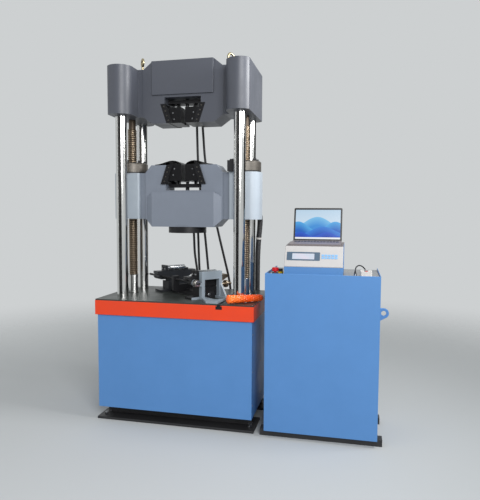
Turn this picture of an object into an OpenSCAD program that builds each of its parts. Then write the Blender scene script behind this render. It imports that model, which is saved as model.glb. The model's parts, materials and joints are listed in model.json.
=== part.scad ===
/* [Load frame] */
// Distance between the left and right column axes
column_span_x = 745; // [735:1:765]
// Distance between the front and rear column axes
column_span_y = 316; // [306:1:336]
// Column diameter
column_d = 70; // [60:1:76]
// Width of the table along X
table_w = 980; // [970:1:1020]
// Depth of the table along Y
table_depth = 600; // [590:1:640]
// Thickness of the painted table casting
table_t = 87; // [75:1:95]
// Thickness of the machined plate on the table
table_plate_t = 8; // [5:1:12]
// Height of the table's underside above the floor with the ram down
table_z = 652; // [640:1:680]
// Clear height from the table to the underside of the upper crosshead's arms
frame_clear_h = 1112; // [1090:1:1160]

/* [Upper crosshead] */
// Height of the arms that hold the columns
upper_arm_h = 288; // [260:1:300]
// Radius of the round lobe about each column
lobe_r = 80; // [74:1:84]
// Half of the crosshead's overall width
upper_half_w = 437; // [430:1:446]
// Half depth of the central block
upper_block_half_y = 92; // [90:1:100]
// How far the central block hangs below the arms
upper_drop = 43; // [30:1:50]
// How far the central block rises above the arms
upper_rise = 43; // [30:1:55]

/* [Middle crosshead] */
// Height of the arms' underside above the floor
middle_z = 1230; // [1220:1:1250]
// Height of the arms
middle_arm_h = 286; // [280:1:300]
// Half depth of the central block
middle_block_half_y = 80; // [80:1:88]
// How far the central block hangs below the arms
middle_drop = 48; // [40:1:56]
// How far the central block rises above the arms
middle_rise = 47; // [40:1:56]
// Half of the overall width across the nut housings
housing_half_w = 474; // [466:1:484]
// Half depth of a nut housing
housing_half_y = 90; // [84:1:100]
// Diameter of the compression platen
platen_d = 238; // [200:1:260]

/* [Grips] */
// Slope of the wedge faces from the vertical, in degrees
wedge_angle = 18.5; // [16:0.5:20]
// Half width of the grip window at its mouth
mouth_half = 105; // [100:1:108]
// Length of the sloping part of the grip window
grip_h = 118; // [112:1:122]
// Gap between the two open jaws
jaw_gap = 24; // [22:1:30]

/* [Lead screws] */
// Outside diameter of the lead screw thread
screw_d = 60; // [52:1:62]
// Diameter of the plain journals at both ends
screw_journal_d = 45; // [40:1:48]
// Diameter of the nut flange on a nut housing
collar_d = 196; // [180:1:200]

/* [Base] */
// Depth of a floor beam's bottom flange
foot_depth = 210; // [200:1:220]
// Height of the floor beams
foot_h = 120; // [112:1:126]
// Thickness of the bed plate on the floor beams
bed_t = 50; // [40:1:60]
// How far the blue skirt stands back from the table's edges
skirt_inset = 12; // [8:1:16]
// Height of the skirt's lower edge above the floor
skirt_z = 80; // [72:1:90]
// Ram diameter
ram_d = 180; // [160:1:200]

/* [Bend fixture] */
// Turn of the fixture about the vertical, in degrees
bend_turn = -40; // [-46:1:-38]
// Distance between the two support rollers
bend_span = 380; // [370:1:384]
// Diameter of a support roller
roller_d = 40; // [34:1:44]
// Length of a support roller
roller_len = 140; // [136:1:144]

/* [Cabinet] */
// Depth of the cabinet
cabinet_depth = 446; // [436:1:460]
// Overall height of the cabinet
cabinet_h = 936; // [920:1:950]
// Gap along X between the table and the cabinet
cabinet_gap = 64.5; // [50:0.5:80]
// Width of the controller
controller_w = 322; // [314:1:330]
// Depth of the controller
controller_depth = 290; // [280:1:300]
// Width of the laptop
laptop_w = 288; // [280:1:298]
// Depth of the laptop, and the height of its lid
laptop_depth = 208; // [200:1:214]

/* [Hidden] */

$fn = 64;
// Running clearance on the radius of a shaft in its bore
run = 0.05;
// Air gap between pieces that slide past each other
air = 0.3;
// Overrun of a cut past the face it opens
over = 2;

// Colours of the finishes
casting_dark = [0.33, 0.35, 0.40];
casting_mid = [0.48, 0.51, 0.57];
casting_pale = [0.64, 0.69, 0.76];
blue = [0.34, 0.54, 0.80];
orange = [0.88, 0.29, 0.15];
black = [0.10, 0.10, 0.11];
steel = [0.72, 0.73, 0.74];
brass = [0.62, 0.52, 0.36];

// Places of the columns and screws
col_x = column_span_x / 2;
col_y = column_span_y / 2;
table_top = table_z + table_t + table_plate_t;
upper_z = table_top + frame_clear_h;
upper_top = upper_z + upper_arm_h;

// Base
skirt_w = table_w - 2 * skirt_inset;
skirt_depth = table_depth - 2 * skirt_inset;
foot_len = table_w;
foot_flange_t = 15;
foot_web_t = 30;
foot_web_inset = 30;
foot_top_depth = 150;
tie_w = 160;
tie_h = 60;
side_tie_w = 100;
side_tie_x = 290;
foot_bolt_d = 24;
foot_bolt_h = 12;
foot_bolt_inset = 35;
foot_bolt_y = 235;
sheet_t = 3;
foot_y = skirt_depth / 2 - sheet_t - foot_depth / 2;
post_w = 40;
post_t = 4;
bearing_d = 110;
bearing_h = 70;
bearing_flange_d = 150;
bearing_flange_t = 18;
bed_top = foot_h + bed_t;
skirt_gap = 2;
post_gap = 10;
skirt_top = table_z - skirt_gap;
post_top = skirt_top - post_gap;

// Main cylinder and ram
cylinder_d = 240;
cylinder_flange_d = 300;
cylinder_flange_t = 30;
cylinder_floor_t = 60;
gland_h = 40;
gland_d = 270;
gland_bolts = 8;
gland_bolt_d = 16;
ram_reserve = 45;
ram_foot = bed_top + cylinder_floor_t + air;
cylinder_top = table_z - ram_reserve;

// Drive under the bed plate
chain_z = 76;
chain_h = 18;
chain_t = 9;
sprocket_t = 10;
screw_sprocket_r = 52;
motor_sprocket_r = 34;
motor_x = 222;
motor_y = -90;
motor_d = 130;
motor_h = 190;
motor_flange_w = 140;
motor_flange_t = 14;
motor_shaft_d = 24;
chain_gap = 0.4;
motor_sprocket_teeth = 13;
screw_sprocket_teeth = 20;
motor_fins = 12;
tooth_share = 0.08;

// Hoses and conduit
hose_d = 16;
conduit_d = 36;
cable_d = 7;
port_d = 26;
port_len = 20;
upper_port_x = [-28, 8];
upper_port_rise = 34;
middle_port_x = [-70, -40];
middle_port_rise = 70;
manifold_ports = [[-176, 334], [-120, 358], [228, 334], [354, 360]];
conduit_foot = [389, 338];
manifold_z = 300;
manifold_h = 46;
manifold_d = 88;
conduit_boss_d = 46;
conduit_boss_reach = 6;
conduit_boss_depth = 28;

// Upper crosshead
upper_block_top_half = 196;
upper_block_bottom_half = 198;
upper_corner = 258;
upper_shoulder = 50;
cover_t = 11;
cover_h = 203;
web_x = 300;
eye_x = 286;
eye_y = -25;
eye_r = 22;
eye_wire_r = 7;
eye_stem_h = 30;
eye_flange_d = 38;
eye_flange_h = 8;
eye_turn = 55;
screw_roof_t = 20;
web_inset = 4;

// Grips, in the frame of one window: v runs from the mouth inwards
room_half = 116;
room_h = 38;
liner_t = 14;
lip_w = 38;
lip_bolt_d = 9;
lip_bolt_h = 3;
lip_bolt_shares = [0.14, 0.38, 0.62, 0.86];
jaw_low = 2;
jaw_high = 97;
jaw_half_y = 82;
notch_w = 15;
upper_bar_v = 126;
lower_bar_v = 114;
bar_h = 20;
bar_half_x = 108;
bar_half_y = 40;
rod_d = 24;
rod_len = 130;
stop_d = 20;
stop_gap = 3;
hook_x = 56;
hook_w = 14;
hook_neck_y = 30;
hook_head_y = 56;
hook_head_h = 12;
hook_v = 73;
grip_close = 30;
cap_line = [[12, 3], [20, 11], [33, 19], [50, 25], [70, 27], [90, 25], [112, 19], [135, 12],
    [160, 6], [186, 3]];
cap_t = 4;
cap_rib_x0 = 72;
cap_rib_x1 = 88;
cap_lift = 3;
jaw_top = 5;
weld = 1;

// Middle crosshead
middle_corner = 250;
middle_top_half = 210;
middle_bottom_half = 200;
ear_x = 289;
ear_half_y = 70;
boss_half = 199;
boss_foot_half = 246;
boss_y = 25;
boss_h = 212;
boss_bevel_low = 44;
boss_bevel_high = 28;
housing_outer_r = 60;
housing_inner_r = 12;
nut_d = 120;
nut_foot = 20;
gasket_h = 8;
gasket_d = 190;
collar_h = 60;
collar_round = 8;
collar_bolts = 6;
collar_bolt_d = 20;
collar_bolt_h = 14;
collar_bolt_r = 76;
junction_w = 40;
junction_depth = 28;
junction_h = 66;
junction_x = 307;
junction_tongue_w = 13;
junction_tongue_h = 6;
junction_tongue_y = 17;
junction_screw_d = 16;
platen_t = 38;
groove_w = 3;
groove_shares = [0.4, 0.7];
middle_top = middle_z + middle_arm_h + middle_rise;
middle_port_z = middle_z + middle_port_rise;
upper_port_z = upper_z - upper_drop + grip_h + room_h + upper_port_rise;
middle_bottom = middle_z - middle_drop;

// Lead screws
screw_foot = 60;
thread_foot_gap = 70;
thread_head_gap = 60;
screw_head_gap = 30;
thread_z0 = bed_top + thread_foot_gap;
thread_z1 = upper_z - thread_head_gap;
screw_end = upper_top - screw_roof_t - screw_head_gap;

// Table
slot_x = 285;
slot_neck_w = 18;
slot_neck_h = 14;
slot_head_w = 37;
slot_head_h = 16;
plate_inset = 2;
column_nut_d = 116;
column_nut_h = 36;
screw_hole_gap = 4;
column_roof_t = 30;
column_end = upper_top - column_roof_t;

// Bend fixture, in its own frame: s along the rail, w across it
bend_y = 40;
rail_half_w = 40;
rail_h = 38;
rail_len = 464;
rail_chamfer = 8;
seat_half_s = 40;
seat_half_w = 72;
seat_top_half_w = 146;
seat_top_t = 30;
seat_wing_t = 16;
seat_wing_taper = 46;
seat_neck_half_s = 24;
seat_waist_half_w = 60;
seat_foot_half_w = 128;
seat_foot_t = 14;
roller_rise = 152;
roller_above_seat = 14;
roller_z = table_top + roller_rise;
seat_top_z = roller_z - roller_above_seat;
end_plate_t = 16;
end_plate_half_s = 30;
journal_d = 16;
journal_len = 12;
bend_screw_d = 14;
bend_screw_w = -106;
bend_screw_rise = 102;
bend_screw_z = table_top + bend_screw_rise;
bend_screw_s0 = -345;
bend_screw_s1 = 284;
lug_d = 42;
lug_in = 14;
lug_out = 66;
portal_half_w = 74;
portal_s0 = 38;
portal_t = 30;
portal_h = 168;
portal_window_half = 52;
portal_window_z0 = 14;
portal_window_z1 = 120;
toe_t = 13;
toe_line = [[66, -74], [128, -99], [179, -121], [233, -76], [149, 50], [110, 86], [66, 74]];
toe_channel = 164;
gusset_w = 12;
gusset_len = 64;
gusset_h = 92;
bracket_half_s = 12;
bracket_w = 30;
stud_d = 16;
stud_rise = 83;
stud_len = 78;
stud_nut_d = 46;
stud_nut_t = 14;
stud_nut_share = 0.4;
tnut_len = 40;
tnut_gap = 1;

// Wrapped mandrel on the table
mandrel_r0 = 26;
mandrel_r1 = 20;
mandrel_len = 232;
mandrel_x = 331;
mandrel_y = -281;
mandrel_round = 8;
mandrel_turn = 41;

// Cabinet
cab_left_strip = 100.5;
cab_right_strip = 199.5;
cabinet_w = cab_left_strip + controller_w + cab_right_strip;
cab_x0 = table_w / 2 + cabinet_gap;
cab_x1 = cab_x0 + cabinet_w;
cab_y0 = -314;
cab_y1 = cab_y0 + cabinet_depth;
cab_z0 = 38;
cab_recess = 12;
cab_top_t = 3;
channel_w = 60;
channel_t = 5;
channel_over = 28;
channel_front_y = 27;
channel_rear_y = 334;
lug_plate_t = 10;
lug_plate_r = 29;
lug_plate_y = 223;
lug_plate_z = 700;
lug_reach = 30;
lug_hole_d = 28;
lug_foot = 50;
lug_shoulder_share = 0.85;
tank_inset_x = 50;
tank_inset_y = 60;
tank_h = 260;
pump_d = 170;
pump_h = 260;
pump_cap_d = 150;
pump_cap_h = 42;
valve_w = 120;
valve_h = 140;
cab_top_z = cabinet_h - cab_recess;

// Controller, laptop and small controls on the cabinet
ctl_x = cab_x0 + cab_left_strip + controller_w / 2;
ctl_y0 = -274;
ctl_foot_h = 4;
ctl_foot_d = 16;
ctl_front_h = 44;
ctl_lean = 52;
ctl_face_h = 113;
ctl_slope_angle = 3;
fascia_t = 3;
fascia_inset = 1.5;
lcd_w = 122;
lcd_h = 34;
lcd_t = 2;
lcd_x = -57;
key_w = 15;
key_h = 11;
key_t = 1.2;
key_pitch_x = 18;
key_pitch_y = 14;
key_x = 87;
key_cols = 5;
key_rows = 2;
lap_t = 11;
lid_t = 5;
lid_open_angle = 107;
hinge_d = 7;
lap_round = 8;
lap_shift = 2;
lap_knuckles = 20;
estop_x = 43;
estop_y = 96;
estop_base_d = 34;
estop_base_h = 8;
estop_head_d = 38;
estop_head_h = 22;
estop_edge = 3;
estop_stem_d = 16;
estop_travel = 6;
selector_x = 66;
selector_y = 150;
selector_d = 26;
selector_h = 8;
selector_rim = 3;
selector_knob_h = 16;
pendant_rest = 124.5;
pendant_y = 118;
pendant_w = 62;
pendant_len = 96;
pendant_h = 28;
rocker_w = 16;
rocker_len = 44;
rocker_h = 7;
rocker_pin_d = 4;
rocker_pin_share = 0.9;
rocker_rise_share = 1.5;
rocker_dip_share = 1.2;
pstop_d = 14;
pstop_h = 6;
pstop_travel = 2;
grommet_d = 16;
grommet_h = 8;

// Routes of the hoses, the conduit and the pendant cable, in millimetres
hose_upper_left_route = [[-28, 112, 2006], [-28, 170, 2006], [-29, 240, 1978], [-31, 290, 1890],
    [-33, 308, 1790], [-30, 318, 1620], [-12, 325, 1380], [16, 328, 1120], [34, 332, 930],
    [48, 334, 760], [60, 334, 560], [66, 334, 400], [68, 334, 220], [88, 334, 160],
    [150, 334, 135], [208, 334, 160], [228, 334, 220], [228, 334, 280]];
hose_upper_right_route = [[8, 112, 2006], [8, 170, 2006], [8, 240, 1978], [8, 292, 1890],
    [9, 315, 1790], [19, 328, 1625], [56, 340, 1380], [103, 350, 1150], [150, 357, 950],
    [180, 360, 820], [196, 360, 700], [190, 360, 560], [184, 360, 440], [183, 360, 240],
    [200, 360, 178], [268, 360, 148], [336, 360, 178], [354, 360, 236], [354, 360, 280]];
hose_middle_left_route = [[-70, 125, 1300], [-70, 175, 1300], [-69, 230, 1280], [-66, 290, 1220],
    [-62, 318, 1130], [-59, 328, 1000], [-50, 332, 920], [-42, 334, 850], [-34, 334, 640],
    [-34, 334, 400], [-34, 334, 230], [-54, 334, 168], [-104, 334, 142], [-154, 334, 168],
    [-176, 334, 230], [-176, 334, 280]];
hose_middle_right_route = [[-40, 125, 1300], [-40, 175, 1300], [-39, 235, 1280],
    [-38, 305, 1220], [-38, 340, 1130], [-37, 352, 1000], [-35, 356, 920], [-31, 358, 850],
    [-10, 358, 640], [2, 358, 400], [0, 358, 210], [-16, 358, 146], [-60, 358, 116],
    [-104, 358, 146], [-120, 358, 210], [-120, 358, 280]];
conduit_route = [[430, 96.3, 1270], [430, 130, 1270], [429, 172, 1264], [427, 210, 1247],
    [423, 241, 1218], [416, 266, 1170], [407, 286, 1110], [399, 305, 1040], [393, 322, 960],
    [390, 334, 870], [389, 338, 780], [389, 338, 640], [389, 338, 480], [389, 338, 346]];
pendant_cable_line = [[66, -172, 932], [66, -172, 950], [71, -164, 968], [85, -146, 976],
    [103, -128, 970], [118, -117, 955], [124.5, -122, 942], [124.5, -139, 938]];

ctl_right = ctl_x + controller_w / 2;
pendant_cable_route = [for (p = pendant_cable_line) p + [ctl_right, 0, 0]];

// Small helpers
function both_sides(half) =
    concat(half, [for (i = [len(half) - 1:-1:0]) [-half[i][0], half[i][1]]]);

// A block from its lowest to its highest corner
module block(lo, hi) {
    translate(lo) cube(hi - lo);
}

// An outline in X and Z, extruded along Y
module across_y(points, y0, y1) {
    translate([0, y1, 0]) rotate([90, 0, 0]) linear_extrude(y1 - y0) polygon(points);
}

// An outline in Y and Z, extruded along X
module across_x(points, x0, x1) {
    translate([x0, 0, 0]) rotate([90, 0, 90]) linear_extrude(x1 - x0) polygon(points);
}

// The children and their mirror image in X
module left_and_right() {
    children();
    mirror([1, 0, 0]) children();
}

// The children and their mirror image in Y
module front_and_rear() {
    children();
    mirror([0, 1, 0]) children();
}

module at_columns() {
    for (x = [-col_x, col_x], y = [-col_y, col_y]) translate([x, y, 0]) children();
}

// A post with a rounded rectangular plan
module round_post(w, d, h, r) {
    linear_extrude(h) {
        square([w, d - 2 * r], center = true);
        square([w - 2 * r, d], center = true);
        for (x = [-1, 1], y = [-1, 1]) translate([x * (w / 2 - r), y * (d / 2 - r)]) circle(r);
    }
}

// A tube swept along a route of points, with flat ends
function unit(a) = a / norm(a);
function heading(p, i) = unit(p[min(i + 1, len(p) - 1)] - p[max(i - 1, 0)]);
function side_of(t) = unit(cross(t, abs(t[0]) < 0.9 ? [1, 0, 0] : [0, 1, 0]));
function carried(t, n) = unit(n - (n * t) * t);
function sides_along(p, i) =
    i == 0 ? side_of(heading(p, 0)) : carried(heading(p, i), sides_along(p, i - 1));

module swept_tube(route, d, sides) {
    rings = [for (i = [0:len(route) - 1])
        let (t = heading(route, i), n = sides_along(route, i), b = cross(t, n))
        for (k = [0:sides - 1])
            route[i] + d / 2 * (cos(360 * k / sides) * n + sin(360 * k / sides) * b)];
    walls = [for (i = [0:len(route) - 2], k = [0:sides - 1])
        let (a = i * sides, j = (k + 1) % sides) [a + k, a + j, a + sides + j, a + sides + k]];
    start = [for (k = [sides - 1:-1:0]) k];
    end = [for (k = [0:sides - 1]) (len(route) - 1) * sides + k];
    polyhedron(rings, concat([start], [end], walls), convexity = 4);
}

// Base
module floor_beam() {
    half = foot_len / 2;
    y0 = foot_y - foot_depth / 2;
    block([-half, y0, 0], [half, y0 + foot_depth, foot_flange_t]);
    web_half = half - foot_web_inset;
    block([-web_half, foot_y - foot_web_t / 2, foot_flange_t - over],
        [web_half, foot_y + foot_web_t / 2, foot_h - foot_flange_t + over]);
    block([-web_half, foot_y - foot_top_depth / 2, foot_h - foot_flange_t],
        [web_half, foot_y + foot_top_depth / 2, foot_h]);
}

module foot_bolt() {
    cylinder(d = foot_bolt_d, h = foot_bolt_h, $fn = 6);
}

module base_beams() {
    tie_y = foot_y - foot_web_t / 2 - air;
    tie_z0 = foot_flange_t + air;
    gap_y = foot_y - foot_depth / 2 - air;
    bolt_x = foot_len / 2 - foot_bolt_inset;
    color(black) {
        front_and_rear() floor_beam();
        union() {
            block([-tie_w / 2, -tie_y, tie_z0], [tie_w / 2, tie_y, tie_h]);
            block([-tie_w / 2, -gap_y, 0], [tie_w / 2, gap_y, tie_h]);
        }
        left_and_right() block([side_tie_x - side_tie_w / 2, -tie_y, tie_z0],
            [side_tie_x + side_tie_w / 2, tie_y, tie_h]);
        for (x = [-bolt_x, bolt_x], y = [-foot_bolt_y, foot_bolt_y])
            translate([x, y, foot_flange_t + air]) foot_bolt();
    }
}

module bed_plate() {
    half_x = skirt_w / 2 - sheet_t;
    half_y = skirt_depth / 2 - sheet_t;
    color(black) {
        difference() {
            block([-half_x, -half_y, foot_h], [half_x, half_y, bed_top]);
            left_and_right() translate([col_x, 0, foot_h - over])
                cylinder(d = bearing_d + 2 * air, h = bed_t + 2 * over);
            translate([motor_x, motor_y, foot_h - over])
                cylinder(d = motor_shaft_d + 2 * air, h = bed_t + 2 * over);
        }
        left_and_right() front_and_rear() corner_post(half_x, half_y);
        left_and_right() translate([col_x, 0, 0]) screw_bearing();
    }
}

module corner_post(half_x, half_y) {
    block([half_x - post_w, half_y - post_t, bed_top + air], [half_x, half_y, post_top]);
    block([half_x - post_t, half_y - post_w, bed_top + air], [half_x, half_y, post_top]);
}

module screw_bearing() {
    difference() {
        union() {
            translate([0, 0, bed_top - bed_t]) cylinder(d = bearing_d, h = bearing_h);
            translate([0, 0, bed_top + air]) cylinder(d = bearing_flange_d, h = bearing_flange_t);
        }
        translate([0, 0, foot_h - over])
            cylinder(d = screw_journal_d + 2 * run, h = bearing_h + bearing_flange_t + 2 * over);
    }
}

module main_cylinder() {
    barrel_top = cylinder_top - gland_h;
    color(casting_dark) {
        difference() {
            union() {
                translate([0, 0, bed_top]) cylinder(d = cylinder_flange_d, h = cylinder_flange_t);
                translate([0, 0, bed_top]) cylinder(d = cylinder_d, h = barrel_top - bed_top);
            }
            translate([0, 0, ram_foot - air]) cylinder(d = ram_d + 2 * run, h = cylinder_top);
        }
        difference() {
            translate([0, 0, barrel_top + air]) cylinder(d = gland_d, h = gland_h - air);
            translate([0, 0, barrel_top - over])
                cylinder(d = ram_d + 2 * run, h = gland_h + 2 * over);
        }
        for (i = [0:gland_bolts - 1]) rotate([0, 0, 360 / gland_bolts * i])
            translate([(ram_d + gland_d) / 4, 0, cylinder_top + air])
                cylinder(d = gland_bolt_d, h = gland_bolt_d / 2, $fn = 6);
    }
}

module skirt_front() {
    color(blue)
    block([-skirt_w / 2, -skirt_depth / 2, skirt_z],
        [skirt_w / 2, -skirt_depth / 2 + sheet_t, skirt_top]);
}

module skirt_panels() {
    side_half = skirt_depth / 2 - sheet_t;
    color(blue) {
        block([-skirt_w / 2, side_half, skirt_z], [skirt_w / 2, skirt_depth / 2, skirt_top]);
        left_and_right() block([skirt_w / 2 - sheet_t, -side_half, skirt_z],
            [skirt_w / 2, side_half, skirt_top]);
    }
}

module drive_motor() {
    color(casting_dark)
    translate([motor_x, motor_y, bed_top]) difference() {
        union() {
            translate([-motor_flange_w / 2, -motor_flange_w / 2, 0])
                cube([motor_flange_w, motor_flange_w, motor_flange_t]);
            cylinder(d = motor_d - motor_flange_t, h = motor_h);
            for (i = [0:motor_fins - 1]) rotate([0, 0, 360 / motor_fins * i])
                translate([0, -post_t / 2, motor_flange_t * 2])
                    cube([motor_d / 2, post_t, motor_h - motor_flange_t * 4]);
        }
        translate([0, 0, -over]) cylinder(d = motor_shaft_d + 2 * run, h = motor_h / 2 + over);
    }
}

// Outer or inner outline of the chain about its three sprockets, grown by a margin
module chain_loop(margin) {
    hull() {
        for (x = [-col_x, col_x]) translate([x, 0]) circle(screw_sprocket_r + margin, $fn = 48);
        translate([motor_x, motor_y]) circle(motor_sprocket_r + margin, $fn = 48);
    }
}

module drive_chain() {
    color(steel)
    translate([0, 0, chain_z]) linear_extrude(chain_h) difference() {
        chain_loop(chain_gap + chain_t);
        chain_loop(chain_gap);
    }
}

// A chain wheel whose teeth stay inside the radius r
module sprocket(r, teeth) {
    root = r * (1 - 2 * tooth_share);
    linear_extrude(sprocket_t) polygon([for (i = [0:teeth - 1]) for (q = [0:3])
        let (a = 360 / teeth * (i + q / 4), reach = q == 1 || q == 2 ? r : root)
        reach * [cos(a), sin(a)]]);
}

module motor_sprocket() {
    color(steel) translate([motor_x, motor_y, 0]) {
        translate([0, 0, chain_z + (chain_h - sprocket_t) / 2]) sprocket(motor_sprocket_r, motor_sprocket_teeth);
        translate([0, 0, chain_z])
            cylinder(d = motor_shaft_d, h = bed_top + motor_h / 2 - chain_z - over);
    }
}

module hose_manifold() {
    y0 = skirt_depth / 2;
    ports = manifold_ports;
    port_top = manifold_z + manifold_h;
    color(casting_dark) {
        for (pair = [[0, 1], [2, 3]]) union() {
            x0 = ports[pair[0]][0] - port_d;
            x1 = ports[pair[1]][0] + port_d;
            block([x0, y0, manifold_z], [x1, y0 + manifold_d, port_top]);
        }
        for (p = ports) translate([p[0], p[1], manifold_z - port_len]) cylinder(d = port_d, h = port_len);
        translate([conduit_foot[0], conduit_foot[1], manifold_z])
            cylinder(d = conduit_d + port_len / 2, h = manifold_h);
        block([conduit_foot[0] - conduit_d / 2, y0, manifold_z],
            [conduit_foot[0] + conduit_d / 2, conduit_foot[1], manifold_z + port_len]);
    }
}

// Cabinet
module cabinet_shell() {
    color(blue) {
        difference() {
            block([cab_x0, cab_y0, cab_z0], [cab_x1, cab_y1, cabinet_h]);
            block([cab_x0 + sheet_t, cab_y0 + sheet_t, cab_z0 + sheet_t],
                [cab_x1 - sheet_t, cab_y1 + over, cabinet_h + over]);
        }
        lifting_lug();
    }
}

// A rounded lifting plate with its hole, welded to the outer side
module lifting_lug() {
    translate([cab_x1, cab_y0 + lug_plate_y, lug_plate_z])
    rotate([90, 0, 0]) translate([0, 0, -lug_plate_t / 2]) linear_extrude(lug_plate_t)
    difference() {
        union() {
            translate([lug_reach, 0]) circle(lug_plate_r);
            polygon([[0, -lug_foot], [lug_reach + lug_plate_r / 2, -lug_plate_r * lug_shoulder_share],
                [lug_reach, lug_plate_r], [0, lug_plate_r]]);
        }
        translate([lug_reach, 0]) circle(d = lug_hole_d);
    }
}

module cabinet_rear_panel() {
    color(blue)
    block([cab_x0 + sheet_t, cab_y1 - sheet_t, cab_z0 + sheet_t],
        [cab_x1 - sheet_t, cab_y1, cab_top_z - cab_top_t]);
}

module cabinet_top() {
    hole_d = cable_d + 2 * run;
    color(steel) difference() {
        union() {
            block([cab_x0 + sheet_t, cab_y0 + sheet_t, cab_top_z - cab_top_t],
                [cab_x1 - sheet_t, cab_y1, cab_top_z]);
            translate([pendant_cable_route[0][0], pendant_cable_route[0][1], cab_top_z])
                cylinder(d = grommet_d, h = grommet_h);
        }
        translate([cab_x0 + estop_x, cab_y0 + estop_y, cab_top_z - cab_top_t - over])
            cylinder(d = estop_stem_d + 2 * air, h = cab_top_t + 2 * over);
    }
}

module cabinet_feet() {
    color(black)
    for (y = [channel_front_y, channel_rear_y]) translate([0, cab_y0 + y, 0]) difference() {
        block([cab_x0 - channel_over, 0, 0], [cab_x1 + channel_over, channel_w, cab_z0]);
        block([cab_x0 - channel_over - over, channel_t, -over],
            [cab_x1 + channel_over + over, channel_w - channel_t, cab_z0 - channel_t]);
    }
}

module hydraulic_unit() {
    x0 = cab_x0 + tank_inset_x;
    y0 = cab_y0 + tank_inset_y;
    z0 = cab_z0 + sheet_t;
    color(casting_mid) {
        block([x0, y0, z0], [cab_x1 - tank_inset_x, cab_y1 - tank_inset_y, z0 + tank_h]);
        translate([x0 + pump_d, (cab_y0 + cab_y1) / 2, z0 + tank_h + air]) {
            cylinder(d = pump_d, h = pump_h);
            translate([0, 0, pump_h]) cylinder(d = pump_cap_d, h = pump_cap_h);
        }
        translate([cab_x1 - tank_inset_x - 2 * valve_w, (cab_y0 + cab_y1) / 2 - valve_w / 2, z0 + tank_h + air])
            cube([valve_w, valve_w, valve_h]);
    }
}

// Controller: an outline in Y and Z with a leaning fascia and a sloping top
ctl_z0 = cab_top_z + ctl_foot_h;
ctl_face_z0 = ctl_z0 + ctl_front_h;
ctl_face_z1 = ctl_face_z0 + ctl_face_h;
ctl_face_y1 = ctl_y0 + ctl_lean;
ctl_y1 = ctl_y0 + controller_depth;
ctl_rear_z = ctl_face_z1 + (ctl_y1 - ctl_face_y1) * tan(ctl_slope_angle);
ctl_lean_angle = atan2(ctl_lean, ctl_face_h);
ctl_face_len = norm([ctl_lean, ctl_face_h]);

module controller_case() {
    x0 = ctl_x - controller_w / 2;
    x1 = ctl_x + controller_w / 2;
    outline = [[ctl_y0, ctl_z0], [ctl_y1, ctl_z0], [ctl_y1, ctl_rear_z],
        [ctl_face_y1, ctl_face_z1], [ctl_y0, ctl_face_z0]];
    color(blue) {
        across_x(outline, x0, x1);
        for (x = [x0 + ctl_foot_d * 2, x1 - ctl_foot_d * 2], y = [ctl_y0 + ctl_foot_d * 2, ctl_y1 - ctl_foot_d * 2])
            translate([x, y, cab_top_z]) cylinder(d = ctl_foot_d, h = ctl_foot_h);
    }
}

// The frame of the leaning fascia: X along it, Y up the slope, Z out of it
module on_fascia() {
    translate([ctl_x, ctl_y0, ctl_face_z0]) rotate([90 - ctl_lean_angle, 0, 0]) children();
}

module controller_fascia() {
    half = controller_w / 2 - fascia_inset;
    color([0.86, 0.85, 0.82]) on_fascia() {
        difference() {
            translate([-half, fascia_inset, 0]) cube([2 * half, ctl_face_len - 2 * fascia_inset, fascia_t]);
            translate([lcd_x - lcd_w / 2, ctl_face_len / 2 - lcd_h / 2, -over])
                cube([lcd_w, lcd_h, fascia_t + 2 * over]);
        }
        for (i = [0:key_cols - 1], j = [0:key_rows - 1])
            translate([key_x + (i - (key_cols - 1) / 2) * key_pitch_x - key_w / 2,
                ctl_face_len / 2 + (j - (key_rows - 1) / 2) * key_pitch_y - key_h / 2, fascia_t])
                cube([key_w, key_h, key_t]);
    }
}

module display() {
    color([0.75, 0.85, 0.92]) on_fascia()
    translate([lcd_x - lcd_w / 2, ctl_face_len / 2 - lcd_h / 2, 0]) cube([lcd_w, lcd_h, lcd_t]);
}

// The frame of the sloping controller top: X across, Y to the rear, Z up
lap_x = ctl_x + lap_shift;
module on_controller() {
    translate([lap_x, ctl_face_y1, ctl_face_z1]) rotate([ctl_slope_angle, 0, 0]) translate([0, 0, air]) children();
}

module laptop_base() {
    knuckle = laptop_w / lap_knuckles;
    color([0.42, 0.40, 0.41]) on_controller() {
        translate([0, laptop_depth / 2, 0]) round_post(laptop_w, laptop_depth - hinge_d, lap_t, lap_round);
        for (x = [-laptop_w / 3, laptop_w / 3])
            translate([x, laptop_depth, lap_t - hinge_d / 2]) rotate([0, 90, 0]) difference() {
                union() {
                    translate([0, 0, -knuckle]) cylinder(d = hinge_d, h = 2 * knuckle);
                    translate([-hinge_d / 2, -hinge_d, -knuckle]) cube([hinge_d, hinge_d, 2 * knuckle]);
                }
                translate([0, 0, -2 * knuckle]) cylinder(d = hinge_d / 2 + 2 * run, h = 4 * knuckle);
            }
    }
}

// The lid leans back from its hinge and stands behind the hinge's axis by half its barrel
module laptop_lid() {
    pin_half = laptop_w / 2 - lap_round * 2;
    leaf = laptop_w / lap_knuckles + air;
    foot = -hinge_d / 2 + air;
    lid_h = laptop_depth - hinge_d / 2 - foot;
    color(black) on_controller() translate([0, laptop_depth, lap_t - hinge_d / 2])
    rotate([90 - lid_open_angle, 0, 0]) {
        rotate([0, 90, 0]) translate([0, 0, -pin_half]) cylinder(d = hinge_d / 2, h = 2 * pin_half);
        translate([0, hinge_d / 2 + air + lid_t, foot + lid_h / 2]) rotate([90, 0, 0])
            round_post(laptop_w, lid_h, lid_t, lap_round);
        hinge_knuckle(-pin_half, -laptop_w / 3 - leaf);
        hinge_knuckle(-laptop_w / 3 + leaf, laptop_w / 3 - leaf);
        hinge_knuckle(laptop_w / 3 + leaf, pin_half);
    }
}

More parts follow.
